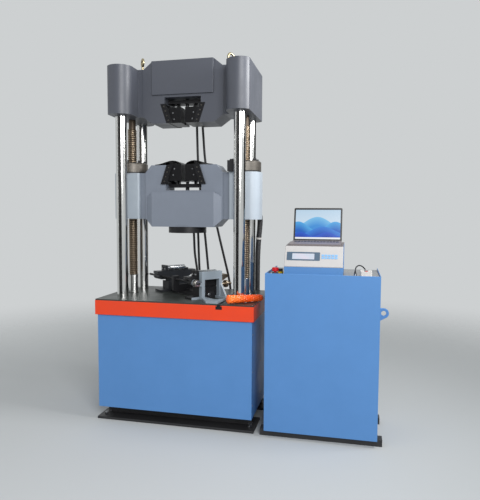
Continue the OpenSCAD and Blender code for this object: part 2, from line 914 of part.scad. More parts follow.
// A stretch of the lid's own hinge barrel, from x0 to x1, and its leaf back to the lid
module hinge_knuckle(x0, x1) {
    r = hinge_d / 2 - air;
    rotate([0, 90, 0]) translate([0, 0, x0]) cylinder(r = r, h = x1 - x0);
    block([x0, 0, -r], [x1, hinge_d / 2 + air + lid_t / 2, r]);
}

// Emergency stop and selector on the cabinet top
module control_bases() {
    ex = cab_x0 + estop_x;
    ey = cab_y0 + estop_y;
    color([0.9, 0.75, 0.15]) {
        translate([ex, ey, cab_top_z]) difference() {
            cylinder(d = estop_base_d, h = estop_base_h);
            translate([0, 0, -over]) cylinder(d = estop_stem_d + 2 * run, h = estop_base_h + 2 * over);
        }
        translate([cab_x0 + selector_x, cab_y0 + selector_y, cab_top_z]) difference() {
            cylinder(d = selector_d + 2 * selector_rim, h = selector_h);
            translate([0, 0, selector_h / 2]) cylinder(d = selector_d / 2 + 2 * run, h = selector_h);
        }
    }
}

module estop_button() {
    foot = cab_top_z - cab_top_t;
    head_z = cab_top_z + estop_base_h + estop_travel + air;
    color([0.8, 0.08, 0.08]) translate([cab_x0 + estop_x, cab_y0 + estop_y, 0]) {
        translate([0, 0, foot]) cylinder(d = estop_stem_d, h = head_z - foot + over);
        translate([0, 0, head_z]) rotate_extrude() polygon([[0, 0], [estop_head_d / 2 - estop_edge, 0],
            [estop_head_d / 2, estop_edge], [estop_head_d / 2, estop_head_h - estop_edge],
            [estop_head_d / 2 - estop_edge, estop_head_h], [0, estop_head_h]]);
    }
}

module selector_knob() {
    color(black) translate([cab_x0 + selector_x, cab_y0 + selector_y, cab_top_z + selector_h]) {
        translate([0, 0, -selector_h / 2 + air]) cylinder(d = selector_d / 2, h = selector_h);
        translate([0, 0, air]) cylinder(d = selector_d, h = selector_h / 2);
        translate([-selector_d / 2, -selector_d / 8, air]) cube([selector_d, selector_d / 4, selector_knob_h]);
    }
}

// Pendant lying on the cabinet top
pend_x = ctl_right + pendant_rest;
pend_y = cab_y0 + pendant_y;
module pendant_case() {
    well = rocker_h;
    color([0.9, 0.9, 0.88]) translate([pend_x, pend_y, cab_top_z]) difference() {
        union() {
            round_post(pendant_w, pendant_len, pendant_h, pendant_w / 8);
            translate([0, pendant_len / 2, pendant_h / 2]) rotate([-90, 0, 0])
                cylinder(d = grommet_d, h = grommet_h);
        }
        translate([-rocker_w / 2 - air, -rocker_len / 2 - air, pendant_h - well])
            cube([rocker_w + 2 * air, rocker_len + 2 * air, well + over]);
        translate([-rocker_w, 0, pendant_h - well / 2]) rotate([0, 90, 0])
            cylinder(d = rocker_pin_d + 2 * run, h = 2 * rocker_w);
        translate([0, -pendant_len / 2 + pstop_d, pendant_h - pstop_h])
            cylinder(d = pstop_d + 2 * air, h = pstop_h + over);
    }
}

module pendant_rocker() {
    lift = rocker_h / 2;
    color(black) translate([pend_x, pend_y, cab_top_z + pendant_h - rocker_h / 2]) {
        rotate([0, 90, 0]) translate([0, 0, -rocker_w * rocker_pin_share])
            cylinder(d = rocker_pin_d, h = 2 * rocker_w * rocker_pin_share);
        across_x([[-rocker_len / 2 + air, lift], [-rocker_len / 2 + air * 3, 0], [0, -lift / 2],
            [rocker_len / 2 - air * 3, 0], [rocker_len / 2 - air, lift], [rocker_len / 4, lift * rocker_rise_share],
            [0, lift * rocker_dip_share], [-rocker_len / 4, lift * rocker_rise_share]], -rocker_w / 2, rocker_w / 2);
    }
}

module pendant_stop() {
    color([0.8, 0.08, 0.08])
    translate([pend_x, pend_y - pendant_len / 2 + pstop_d, cab_top_z + pendant_h - pstop_h + pstop_travel + air])
        cylinder(d = pstop_d, h = pstop_h);
}

module pendant_cable() {
    color(black) swept_tube(pendant_cable_route, cable_d, 8);
}

// Hoses and conduit
module hose_upper_left() {
    color(black) swept_tube(hose_upper_left_route, hose_d, 8);
}

module hose_upper_right() {
    color(black) swept_tube(hose_upper_right_route, hose_d, 8);
}

module hose_middle_left() {
    color(black) swept_tube(hose_middle_left_route, hose_d, 8);
}

module hose_middle_right() {
    color(black) swept_tube(hose_middle_right_route, hose_d, 8);
}

module conduit() {
    color(black) swept_tube(conduit_route, conduit_d, 10);
}

// Load frame
module ram() {
    color(steel) translate([0, 0, ram_foot]) cylinder(d = ram_d, h = table_z - ram_foot);
}

// The T-slot along the table, opened past the top face z1
module t_slot_cut(z1) {
    half_y = table_depth / 2 + over;
    neck = table_top - slot_neck_h;
    block([slot_x - slot_neck_w / 2, -half_y, neck - over], [slot_x + slot_neck_w / 2, half_y, z1 + over]);
    block([slot_x - slot_head_w / 2, -half_y, neck - slot_head_h], [slot_x + slot_head_w / 2, half_y, neck]);
}

module table_holes(z0, h) {
    at_columns() translate([0, 0, z0 - over]) cylinder(d = column_d + 2 * run, h = h + 2 * over);
    for (x = [-col_x, col_x]) translate([x, 0, z0 - over])
        cylinder(d = screw_d + 2 * screw_hole_gap, h = h + 2 * over);
}

module table_slab() {
    half_x = table_w / 2;
    half_y = table_depth / 2;
    color(orange) difference() {
        block([-half_x, -half_y, table_z], [half_x, half_y, table_z + table_t]);
        table_holes(table_z, table_t);
        t_slot_cut(table_z + table_t);
    }
}

module table_plate() {
    half_x = table_w / 2 - plate_inset;
    half_y = table_depth / 2 - plate_inset;
    z0 = table_z + table_t;
    color([0.25, 0.26, 0.27]) difference() {
        block([-half_x, -half_y, z0], [half_x, half_y, table_top]);
        table_holes(z0, table_plate_t);
        t_slot_cut(table_top);
    }
}

module columns() {
    foot = table_z - column_nut_h;
    color(steel) at_columns() {
        translate([0, 0, foot]) cylinder(d = column_d, h = column_end - foot);
        translate([0, 0, foot]) difference() {
            cylinder(d = column_nut_d, h = column_nut_h - air, $fn = 6);
            translate([0, 0, -over]) cylinder(d = column_d + 2 * run, h = column_nut_h + 2 * over);
        }
    }
}

// The window of a grip, in X and v, through the whole block
function window_outline() = both_sides([[mouth_half - over * tan(wedge_angle), -over],
    [mouth_half + grip_h * tan(wedge_angle), grip_h], [room_half, grip_h], [room_half, grip_h + room_h]]);

module grip_window(half_y) {
    across_y(window_outline(), -half_y - over, half_y + over);
    translate([0, 0, grip_h + room_h - over])
        cylinder(d = rod_d + 2 * run, h = rod_len + 2 * over);
}

// Places the children in the upper or the lower grip window
module upper_grip() {
    translate([0, 0, upper_z - upper_drop]) children();
}

module lower_grip() {
    translate([0, 0, middle_top]) mirror([0, 0, 1]) children();
}

// A sloping strip of the window's right side: from x offset a to b inwards, between two heights
module wedge_strip(a, b, v0, v1, y0, y1) {
    across_y([[mouth_half - a + v0 * tan(wedge_angle), v0], [mouth_half - a + v1 * tan(wedge_angle), v1],
        [mouth_half - b + v1 * tan(wedge_angle), v1], [mouth_half - b + v0 * tan(wedge_angle), v0]], y0, y1);
}

module grip_guides(half_y) {
    left_and_right() {
        wedge_strip(0, liner_t, 0, grip_h, -half_y, half_y);
        front_and_rear() {
            wedge_strip(liner_t - weld, lip_w, 0, grip_h, jaw_half_y + air, half_y);
            for (share = lip_bolt_shares)
                translate([mouth_half - lip_w / 2 + share * grip_h * tan(wedge_angle), half_y, share * grip_h])
                    rotate([-90, 0, 0]) cylinder(d = lip_bolt_d, h = lip_bolt_h, $fn = 24);
        }
    }
}

// One jaw, on the right side of the window
module jaw(low) {
    outer = mouth_half - liner_t - air;
    slide = grip_close * tan(wedge_angle);
    neck_x0 = hook_x - hook_w / 2 - air;
    difference() {
        across_y([[jaw_gap / 2, low], [outer + low * tan(wedge_angle), low],
            [outer + jaw_high * tan(wedge_angle), jaw_high], [jaw_gap / 2, jaw_high]], -jaw_half_y, jaw_half_y);
        translate([jaw_gap / 2, 0, low - over]) rotate([0, 0, 45])
            translate([-notch_w / 2, -notch_w / 2, 0]) cube([notch_w, notch_w, jaw_high - low + 2 * over]);
        block([neck_x0, -hook_neck_y / 2 - air, hook_v + hook_head_h - over],
            [hook_x + hook_w / 2 + slide + weld, hook_neck_y / 2 + air, jaw_high + over]);
        block([neck_x0, -hook_head_y / 2 - air, hook_v - air],
            [outer + grip_h, hook_head_y / 2 + air, hook_v + hook_head_h + air]);
    }
}

// The arched cap on a lower jaw, in X and height above the crosshead's top
module jaw_cap() {
    under = [for (i = [len(cap_line) - 1:-1:0]) [cap_line[i][0], max(cap_line[i][1] - cap_t, air)]];
    across_y(concat(cap_line, under), -jaw_half_y, jaw_half_y);
    block([cap_rib_x0, -jaw_half_y, cap_lift], [cap_rib_x1, jaw_half_y, cap_line[4][1] - cap_t / 2 - weld]);
}

module carrier(bar_v) {
    left_and_right() {
        block([hook_x - hook_w / 2, -hook_neck_y / 2, hook_v + hook_head_h - weld],
            [hook_x + hook_w / 2, hook_neck_y / 2, bar_v + weld]);
        block([hook_x - hook_w / 2, -hook_head_y / 2, hook_v],
            [hook_x + hook_w / 2, hook_head_y / 2, hook_v + hook_head_h]);
    }
    block([-bar_half_x, -bar_half_y, bar_v], [bar_half_x, bar_half_y, bar_v + bar_h]);
    translate([0, 0, bar_v + bar_h - weld]) cylinder(d = rod_d, h = rod_len);
    translate([0, 0, jaw_high + stop_gap]) cylinder(d = stop_d, h = bar_v - jaw_high - stop_gap + weld);
}

module upper_carrier() {
    color(black) upper_grip() union() carrier(upper_bar_v);
}

module lower_carrier() {
    color(black) lower_grip() union() carrier(lower_bar_v);
}

module upper_jaw_right() {
    color(black) upper_grip() jaw(jaw_low);
}

module upper_jaw_left() {
    color(black) upper_grip() mirror([1, 0, 0]) jaw(jaw_low);
}

module lower_jaw() {
    union() {
        lower_grip() jaw(-jaw_top);
        translate([0, 0, middle_top]) difference() {
            jaw_cap();
            translate([jaw_gap / 2, 0, 0]) rotate([0, 0, 45])
                translate([-notch_w / 2, -notch_w / 2, 0]) cube([notch_w, notch_w, cap_line[4][1] + over]);
        }
    }
}

module lower_jaw_right() {
    color(black) lower_jaw();
}

module lower_jaw_left() {
    color(black) mirror([1, 0, 0]) lower_jaw();
}

module upper_grip_guides() {
    color(black) upper_grip() grip_guides(upper_block_half_y);
}

module lower_grip_guides() {
    color(black) lower_grip() grip_guides(upper_block_half_y);
}

// Upper crosshead: central block, arms with round lobes, and the grip window
module upper_crosshead() {
    top = upper_top + upper_rise;
    low = upper_z - upper_drop;
    outline = both_sides([[upper_block_bottom_half, low], [upper_corner, upper_z],
        [upper_corner, top - upper_shoulder], [upper_block_top_half, top]]);
    color(casting_dark) difference() {
        union() {
            across_y(outline, -upper_block_half_y, upper_block_half_y);
            block([-web_x, -upper_block_half_y + web_inset, upper_z],
                [web_x, upper_block_half_y - web_inset, upper_top]);
            left_and_right() translate([0, 0, upper_z]) linear_extrude(upper_arm_h) arm_plan();
            for (x = upper_port_x) translate([x, upper_block_half_y, upper_port_z]) rotate([-90, 0, 0])
                cylinder(d = port_d, h = port_len);
        }
        upper_grip() grip_window(upper_block_half_y);
        at_columns() translate([0, 0, upper_z - over])
            cylinder(d = column_d + 2 * run, h = column_end - upper_z + over);
        for (x = [-col_x, col_x]) translate([x, 0, upper_z - over])
            cylinder(d = screw_journal_d + 2 * run, h = upper_arm_h - screw_roof_t + over);
    }
}

// Plan of the right arm: two round lobes with a flat outer side
module arm_plan() {
    intersection() {
        union() {
            for (y = [-col_y, col_y]) translate([col_x, y]) circle(lobe_r);
            translate([col_x - lobe_r, -col_y]) square([2 * lobe_r, 2 * col_y]);
        }
        translate([0, -table_depth / 2]) square([upper_half_w, table_depth]);
    }
}

module crosshead_covers() {
    top = upper_top + upper_rise;
    color(casting_dark) difference() {
        front_and_rear() block([-upper_block_top_half, upper_block_half_y, top - cover_h],
            [upper_block_top_half, upper_block_half_y + cover_t, top]);
        for (x = upper_port_x) translate([x, upper_block_half_y - over, upper_port_z]) rotate([-90, 0, 0])
            cylinder(d = port_d + 2 * air, h = cover_t + 2 * over);
    }
}

module eye_bolts() {
    color(steel) left_and_right() translate([eye_x, eye_y, upper_top]) union() {
        cylinder(d = eye_flange_d, h = eye_flange_h);
        cylinder(r = eye_wire_r, h = eye_stem_h + eye_wire_r);
        translate([0, 0, eye_stem_h + eye_r + eye_wire_r]) rotate([0, 0, eye_turn]) rotate([90, 0, 0])
            rotate_extrude($fn = 48) translate([eye_r, 0]) circle(eye_wire_r, $fn = 24);
    }
}

// Middle crosshead: central block with a bevelled boss front and rear
module middle_crosshead() {
    outline = both_sides([[middle_bottom_half, middle_bottom], [middle_corner, middle_z],
        [middle_corner, middle_z + middle_arm_h], [middle_top_half, middle_top]]);
    color(casting_mid) difference() {
        union() {
            across_y(outline, -middle_block_half_y, middle_block_half_y);
            block([-ear_x, -ear_half_y, middle_z], [ear_x, ear_half_y, middle_z + middle_arm_h]);
            front_and_rear() crosshead_boss();
            for (x = middle_port_x) translate([x, middle_block_half_y, middle_port_z]) rotate([-90, 0, 0])
                cylinder(d = port_d, h = port_len + boss_y);
        }
        lower_grip() grip_window(middle_block_half_y);
        translate([0, 0, middle_bottom - over]) cylinder(d = stop_d, h = platen_t + over);
    }
}

module crosshead_boss() {
    y0 = middle_block_half_y - over;
    y1 = middle_block_half_y + boss_y;
    z1 = middle_bottom + boss_h;
    intersection() {
        translate([0, 0, middle_bottom]) linear_extrude(boss_h)
            polygon(both_sides([[boss_foot_half, y0], [boss_half, y1]]));
        across_y(both_sides([[boss_half, middle_bottom], [boss_foot_half, middle_bottom + boss_bevel_low],
            [boss_foot_half, z1 - boss_bevel_high], [boss_half, z1]]), y0 - over, y1 + over);
    }
}

module nut_housings() {
    color(casting_pale) {
        left_and_right() translate([0, 0, middle_z]) difference() {
            linear_extrude(middle_arm_h) housing_plan();
            translate([col_x, 0, nut_foot]) cylinder(d = nut_d, h = middle_arm_h);
            translate([col_x, 0, -over]) cylinder(d = screw_d + 2 * screw_hole_gap, h = nut_foot + 2 * over);
        }
        translate([conduit_route[0][0], housing_half_y - conduit_boss_depth, conduit_route[0][2]])
            rotate([-90, 0, 0]) cylinder(d = conduit_boss_d, h = conduit_boss_depth + conduit_boss_reach);
    }
}

module housing_plan() {
    hull() {
        for (side = [-1, 1]) {
            translate([ear_x + housing_inner_r, side * (housing_half_y - housing_inner_r)])
                circle(housing_inner_r);
            translate([housing_half_w - housing_outer_r, side * (housing_half_y - housing_outer_r)])
                circle(housing_outer_r);
        }
    }
}

module screw_nuts() {
    body_h = middle_arm_h - nut_foot;
    color(steel) left_and_right() translate([col_x, 0, middle_z + nut_foot]) difference() {
        union() {
            cylinder(d = nut_d - 2 * run, h = body_h + gasket_h);
            translate([0, 0, body_h]) cylinder(d = gasket_d, h = gasket_h);
            translate([0, 0, body_h + gasket_h]) cylinder(d = collar_d, h = collar_h - collar_round);
            translate([0, 0, body_h + gasket_h + collar_h - collar_round])
                cylinder(d1 = collar_d, d2 = collar_d - 2 * collar_round, h = collar_round);
        }
        translate([0, 0, -over]) cylinder(d = screw_d + 2 * run, h = body_h + gasket_h + collar_h + 2 * over);
    }
    color(black) left_and_right() translate([col_x, 0, middle_z + nut_foot + body_h + gasket_h + collar_h + air])
        for (i = [0:collar_bolts - 1]) rotate([0, 0, 360 / collar_bolts * (i + 0.5)])
            translate([collar_bolt_r, 0, 0]) cylinder(d = collar_bolt_d, h = collar_bolt_h, $fn = 32);
}

module junction_block() {
    z0 = middle_z + middle_arm_h + air;
    color(black) translate([junction_x, -housing_half_y + over, z0]) {
        translate([-junction_w / 2, -junction_depth, 0]) cube([junction_w, junction_depth, junction_h]);
        translate([-junction_w / 2, -over, 0])
            cube([junction_tongue_w, junction_tongue_y + over, junction_tongue_h]);
        translate([0, -junction_depth / 2, junction_h])
            cylinder(d = junction_screw_d, h = junction_screw_d / 2);
    }
}

module compression_platen() {
    color(black) translate([0, 0, middle_bottom - platen_t]) difference() {
        union() {
            cylinder(d = platen_d, h = platen_t, $fn = 96);
            cylinder(d = stop_d - 2 * run, h = 2 * platen_t - air);
        }
        for (share = groove_shares) translate([0, 0, -over]) difference() {
            cylinder(d = platen_d * share + groove_w, h = groove_w + over);
            translate([0, 0, -over]) cylinder(d = platen_d * share, h = groove_w + 3 * over);
        }
    }
}

module lead_screw() {
    union() {
        translate([0, 0, screw_foot]) cylinder(d = screw_journal_d, h = screw_end - screw_foot);
        translate([0, 0, thread_z0]) cylinder(d = screw_d, h = thread_z1 - thread_z0);
        translate([0, 0, chain_z + (chain_h - sprocket_t) / 2]) sprocket(screw_sprocket_r, screw_sprocket_teeth);
    }
}

module lead_screw_left() {
    color(brass) translate([-col_x, 0, 0]) lead_screw();
}

module lead_screw_right() {
    color(brass) translate([col_x, 0, 0]) lead_screw();
}

// Bend fixture
module on_bend() {
    translate([0, bend_y, 0]) rotate([0, 0, bend_turn]) children();
}

// An outline in w and Z, extruded along s
module along_s(points, s0, s1) {
    across_x(points, s0, s1);
}

module bend_rail() {
    c = rail_chamfer;
    top = table_top + rail_h;
    arm_top = bend_screw_z + lug_d / 2;
    color(black) {
        on_bend() difference() {
            union() {
                along_s(both_sides([[rail_half_w, table_top], [rail_half_w, top - c], [rail_half_w - c, top]]),
                    -rail_len / 2, rail_len / 2);
                block([-bracket_half_s, bend_screw_w - lug_d / 2, top - c],
                    [bracket_half_s, bend_screw_w + lug_d / 2, arm_top]);
                block([-bracket_half_s, bend_screw_w, top - 2 * c], [bracket_half_s, rail_half_w / 2, top + bracket_w]);
            }
            translate([-bracket_half_s - over, bend_screw_w, bend_screw_z]) rotate([0, 90, 0])
                cylinder(d = bend_screw_d + 2 * run, h = 2 * bracket_half_s + 2 * over);
        }
        translate([slot_x, -table_depth / 2, table_top - slot_neck_h - slot_head_h]) {
            translate([-slot_head_w / 2 + tnut_gap, 0, 0])
                cube([slot_head_w - 2 * tnut_gap, tnut_len, slot_head_h - tnut_gap]);
            translate([-slot_neck_w / 2 + tnut_gap, 0, slot_head_h - 2 * tnut_gap])
                cube([slot_neck_w - 2 * tnut_gap, tnut_len, slot_neck_h]);
        }
    }
}

// The saddle body of one seat about s = 0, with its winged top, end plates and screw lug.
// The roller's near journal turns in a bored plate, its far one lies in an open notch
module bend_seat_body(outward) {
    foot = table_top + air;
    rail_top = table_top + rail_h + air;
    waist_z = rail_top + seat_top_t;
    wing_z = seat_top_z - seat_wing_t;
    plate_w = roller_len / 2 + air;
    lug_s0 = outward > 0 ? -lug_in : -lug_out;
    difference() {
        union() {
            block([-seat_half_s, -seat_half_w, foot], [seat_half_s, seat_half_w, waist_z]);
            block([-seat_half_s, -seat_foot_half_w, foot], [seat_half_s, seat_foot_half_w, foot + seat_foot_t]);
            block([-seat_neck_half_s, -seat_waist_half_w, waist_z - over],
                [seat_neck_half_s, seat_waist_half_w, wing_z]);
            along_s(both_sides([[seat_waist_half_w, wing_z - seat_wing_taper], [seat_top_half_w, wing_z],
                [seat_top_half_w, seat_top_z]]), -end_plate_half_s, end_plate_half_s);
            block([-end_plate_half_s, -plate_w - end_plate_t, wing_z],
                [end_plate_half_s, -plate_w, roller_z + roller_d / 2 + over]);
            block([-end_plate_half_s, plate_w, wing_z], [end_plate_half_s, plate_w + end_plate_t, roller_z]);
            translate([lug_s0, bend_screw_w, bend_screw_z]) rotate([0, 90, 0])
                cylinder(d = lug_d, h = lug_in + lug_out);
            block([lug_s0, bend_screw_w, bend_screw_z - lug_d / 2],
                [lug_s0 + lug_in + lug_out, -seat_waist_half_w + over, bend_screw_z]);
        }
        along_s(both_sides([[rail_half_w + air, foot - over], [rail_half_w + air, rail_top]]),
            -seat_half_s - over, seat_half_s + over);
        translate([0, 0, roller_z]) rotate([90, 0, 0]) translate([0, 0, -roller_len / 2 - air])
            cylinder(d = roller_d + 2 * air, h = roller_len + 2 * air);
        translate([0, 0, roller_z]) rotate([90, 0, 0]) translate([0, 0, -roller_len])
            cylinder(d = journal_d + 2 * run, h = 2 * roller_len);
        translate([-lug_out - over, bend_screw_w, bend_screw_z]) rotate([0, 90, 0])
            cylinder(d = bend_screw_d + 2 * run, h = 2 * lug_out + 2 * over);
    }
}

module bend_seat_rear() {
    color(casting_dark) on_bend() translate([-bend_span / 2, 0, 0]) union() bend_seat_body(-1);
}

// The front seat carries a window frame and a floor toe on its outer side
module bend_seat_front() {
    foot = table_top + air;
    s1 = portal_s0 + portal_t;
    color(casting_mid) on_bend() translate([bend_span / 2, 0, 0]) difference() {
        union() {
            bend_seat_body(1);
            difference() {
                block([portal_s0, -portal_half_w, foot], [s1, portal_half_w, table_top + portal_h]);
                block([portal_s0 - over, -portal_window_half, table_top + portal_window_z0],
                    [s1 + over, portal_window_half, table_top + portal_window_z1]);
            }
            translate([0, 0, foot]) linear_extrude(toe_t) polygon(toe_line);
            translate([0, portal_half_w, 0]) across_y([[s1 - over, foot], [s1 + gusset_len, foot],
                [s1 - over, foot + gusset_h]], -gusset_w, 0);
            translate([portal_s0 + portal_t / 2, portal_half_w - weld, table_top + stud_rise])
            rotate([-90, 0, 0]) {
                cylinder(d = stud_d, h = stud_len);
                translate([0, 0, stud_len * stud_nut_share]) cylinder(d = stud_nut_d, h = stud_nut_t);
            }
        }
        block([portal_s0 - over, -rail_half_w - air, foot - over],
            [toe_channel, rail_half_w + air, table_top + rail_h + air]);
        translate([-lug_out - over, bend_screw_w, bend_screw_z]) rotate([0, 90, 0])
            cylinder(d = bend_screw_d + 2 * run, h = 2 * lug_out + 2 * over);
    }
}

module bend_roller(s) {
    on_bend() translate([s, 0, roller_z]) rotate([90, 0, 0]) {
        translate([0, 0, -roller_len / 2]) cylinder(d = roller_d, h = roller_len);
        translate([0, 0, -roller_len / 2 - journal_len]) cylinder(d = journal_d, h = roller_len + 2 * journal_len);
    }
}

module bend_roller_rear() {
    color(steel) union() bend_roller(-bend_span / 2);
}

module bend_roller_front() {
    color(steel) union() bend_roller(bend_span / 2);
}

module bend_screw() {
    color(black) on_bend() translate([bend_screw_s0, bend_screw_w, bend_screw_z]) rotate([0, 90, 0])
        cylinder(d = bend_screw_d, h = bend_screw_s1 - bend_screw_s0);
}

module wrapped_mandrel() {
    tilt = asin((mandrel_r0 - mandrel_r1) / mandrel_len);
    lift = mandrel_r0 * cos(tilt) + mandrel_round * sin(tilt) + air;
    color(orange) translate([mandrel_x, mandrel_y, table_top + lift])
    rotate([0, 0, mandrel_turn]) rotate([0, 90 + tilt, 0]) rotate_extrude() polygon([[0, 0],
        [mandrel_r0 - mandrel_round, 0], [mandrel_r0, mandrel_round],
        [mandrel_r1, mandrel_len - mandrel_round], [mandrel_r1 - mandrel_round, mandrel_len], [0, mandrel_len]]);
}

base_beams();
bed_plate();
main_cylinder();
skirt_front();
skirt_panels();
drive_motor();
drive_chain();
hose_manifold();
cabinet_shell();
cabinet_rear_panel();
cabinet_top();
cabinet_feet();
hydraulic_unit();
controller_case();
controller_fascia();
display();
laptop_base();
control_bases();
pendant_case();
pendant_cable();
hose_upper_left();
hose_upper_right();
hose_middle_left();
hose_middle_right();
conduit();
ram();
table_slab();
table_plate();
columns();
upper_crosshead();
crosshead_covers();
eye_bolts();
upper_grip_guides();
bend_rail();
wrapped_mandrel();
upper_carrier();
upper_jaw_left();
upper_jaw_right();
middle_crosshead();
nut_housings();
screw_nuts();
junction_block();
compression_platen();
lower_grip_guides();
lower_carrier();
lower_jaw_left();
lower_jaw_right();
lead_screw_left();
lead_screw_right();
motor_sprocket();
bend_seat_rear();
bend_seat_front();
bend_screw();
bend_roller_rear();
bend_roller_front();
laptop_lid();
estop_button();
selector_knob();
pendant_rocker();
pendant_stop();
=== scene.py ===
# %% [markdown]
# # Universal testing machine
# The load frame, its crossheads, the bend fixture and the cabinet come in as solids that are already the
# right size and already in the right place. This lesson dresses them: it adds the camera, the hoses, the
# finishes, and the small forms that are too fine to be worth a solid. We start by loading the frame.

# %% Load the frame
import bmesh
import bpy
import json
import math
from mathutils import Matrix, Vector, noise


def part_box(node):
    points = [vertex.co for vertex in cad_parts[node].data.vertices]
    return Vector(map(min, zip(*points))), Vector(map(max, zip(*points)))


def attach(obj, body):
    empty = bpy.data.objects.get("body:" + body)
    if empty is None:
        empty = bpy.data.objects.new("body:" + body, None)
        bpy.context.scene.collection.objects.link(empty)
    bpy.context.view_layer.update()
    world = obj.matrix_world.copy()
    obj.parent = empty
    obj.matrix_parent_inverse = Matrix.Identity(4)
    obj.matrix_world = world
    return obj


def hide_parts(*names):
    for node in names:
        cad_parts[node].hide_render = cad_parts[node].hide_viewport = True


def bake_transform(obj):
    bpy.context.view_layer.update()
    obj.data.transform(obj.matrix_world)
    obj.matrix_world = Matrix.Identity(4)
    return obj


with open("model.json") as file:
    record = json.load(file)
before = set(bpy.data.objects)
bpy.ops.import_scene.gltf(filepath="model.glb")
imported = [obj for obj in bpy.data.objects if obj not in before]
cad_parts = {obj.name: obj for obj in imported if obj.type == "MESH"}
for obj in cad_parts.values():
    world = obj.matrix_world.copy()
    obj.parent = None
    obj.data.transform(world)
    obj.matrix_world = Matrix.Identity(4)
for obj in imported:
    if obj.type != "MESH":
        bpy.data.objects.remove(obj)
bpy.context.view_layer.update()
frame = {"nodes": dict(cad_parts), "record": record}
nodes = frame["nodes"]
scene = bpy.context.scene

# %% [markdown]
# ## Camera
# The picture was taken from head height, a little to the right of the machine and turned back towards it. A
# camera in Blender looks along its own minus Z, so we build its matrix from the three directions right, up
# and forward instead of guessing at angles. The lens follows from the focal length in pixels, measured on a
# 36 mm sensor that spans the picture's height.

# %% Camera
CAMERA_PLACE = Vector((1.0303, -3.0559, 1.2600))
CAMERA_YAW = math.radians(12.7)
CAMERA_PITCH = math.radians(4.03)
CAMERA_ROLL = math.radians(0.28)
FOCAL_PIXELS = 504.4
PICTURE_PIXELS_HIGH = 500
SENSOR = 36.0


def camera_matrix():
    ahead = Vector((-math.sin(CAMERA_YAW), math.cos(CAMERA_YAW), 0))
    right = Vector((math.cos(CAMERA_YAW), math.sin(CAMERA_YAW), 0))
    up = Vector((0, 0, 1))
    forward = ahead * math.cos(CAMERA_PITCH) - up * math.sin(CAMERA_PITCH)
    above = ahead * math.sin(CAMERA_PITCH) + up * math.cos(CAMERA_PITCH)
    right_rolled = right * math.cos(CAMERA_ROLL) + above * math.sin(CAMERA_ROLL)
    above_rolled = above * math.cos(CAMERA_ROLL) - right * math.sin(CAMERA_ROLL)
    turn = Matrix((right_rolled, above_rolled, -forward)).transposed().to_4x4()
    return Matrix.Translation(CAMERA_PLACE) @ turn


camera_data = bpy.data.cameras.new("camera")
camera_data.sensor_fit = "VERTICAL"
camera_data.sensor_height = SENSOR
camera_data.lens = FOCAL_PIXELS / PICTURE_PIXELS_HIGH * SENSOR
camera = bpy.data.objects.new("camera", camera_data)
camera.matrix_world = camera_matrix()
scene.collection.objects.link(camera)
scene.camera = camera
print("lens:", round(camera_data.lens, 2), "mm")

# %% [markdown]
# ## Helpers for making meshes
# Almost every small form on a machine is one of three things: a turned part, a plate cut to an outline, or
# a tube along a path. Short functions make those from points, and one more wraps the points in an object
# and ties it to the body that carries it. Round forms get smooth shading, and flat ones keep crisp edges
# with a narrow bevel that catches the light.

# %% Piece helper
SMOOTH_ANGLE = math.radians(32)


def make_piece(name, verts, faces, body, slot, bevel=0.0, smooth=True):
    mesh = bpy.data.meshes.new(name)
    mesh.from_pydata([tuple(v) for v in verts], [], faces)
    tidy = bmesh.new()
    tidy.from_mesh(mesh)
    bmesh.ops.remove_doubles(tidy, verts=tidy.verts, dist=1e-6)
    bmesh.ops.recalc_face_normals(tidy, faces=tidy.faces)
    tidy.to_mesh(mesh)
    tidy.free()
    piece = bpy.data.objects.new(name, mesh)
    scene.collection.objects.link(piece)
    if smooth:
        mesh.shade_smooth()
        mesh.set_sharp_from_angle(angle=SMOOTH_ANGLE)
    if bevel:
        modifier = piece.modifiers.new("soft edges", "BEVEL")
        modifier.width = bevel
        modifier.segments = 2
        modifier.limit_method = "ANGLE"
        modifier.angle_limit = SMOOTH_ANGLE
        modifier.harden_normals = True
    if body:
        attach(piece, body)
    return piece


# %% Turned parts, plates and blocks
def circle(sides):
    """The cosine and sine of each step round a circle."""
    return [(math.cos(2 * math.pi * k / sides), math.sin(2 * math.pi * k / sides)) for k in range(sides)]


def ring_faces(rings, sides, capped=True):
    """The faces between rings of points, and a cap at each end."""
    faces = []
    for i in range(rings - 1):
        for k in range(sides):
            j = (k + 1) % sides
            faces.append((i * sides + k, i * sides + j, (i + 1) * sides + j, (i + 1) * sides + k))
    if capped:
        faces.append(tuple(range(sides - 1, -1, -1)))
        faces.append(tuple((rings - 1) * sides + k for k in range(sides)))
    return faces


def turned(profile, sides=32):
    """Points (radius, height) turned about Z, closed at both ends."""
    verts = [Vector((radius * c, radius * s, height)) for radius, height in profile for c, s in circle(sides)]
    return verts, ring_faces(len(profile), sides)


def plate(outline, low, high):
    """An outline of (x, y) points between two heights."""
    count = len(outline)
    verts = [Vector((x, y, low)) for x, y in outline] + [Vector((x, y, high)) for x, y in outline]
    faces = [tuple(range(count - 1, -1, -1)), tuple(range(count, 2 * count))]
    for k in range(count):
        j = (k + 1) % count
        faces.append((k, j, count + j, count + k))
    return verts, faces


def block(low, high):
    outline = [(low[0], low[1]), (high[0], low[1]), (high[0], high[1]), (low[0], high[1])]
    return plate(outline, low[2], high[2])


def rounded(width, depth, radius, steps=5):
    """The outline of a rectangle with round corners, about its centre."""
    points = []
    for turn, (sx, sy) in enumerate([(1, 1), (-1, 1), (-1, -1), (1, -1)]):
        for k in range(steps + 1):
            angle = math.pi / 2 * (turn + k / steps)
            x = sx * (width / 2 - radius) + radius * math.cos(angle)
            y = sy * (depth / 2 - radius) + radius * math.sin(angle)
            points.append((x, y))
    return points


def place(form, matrix):
    return [matrix @ Vector(v) for v in form[0]], form[1]


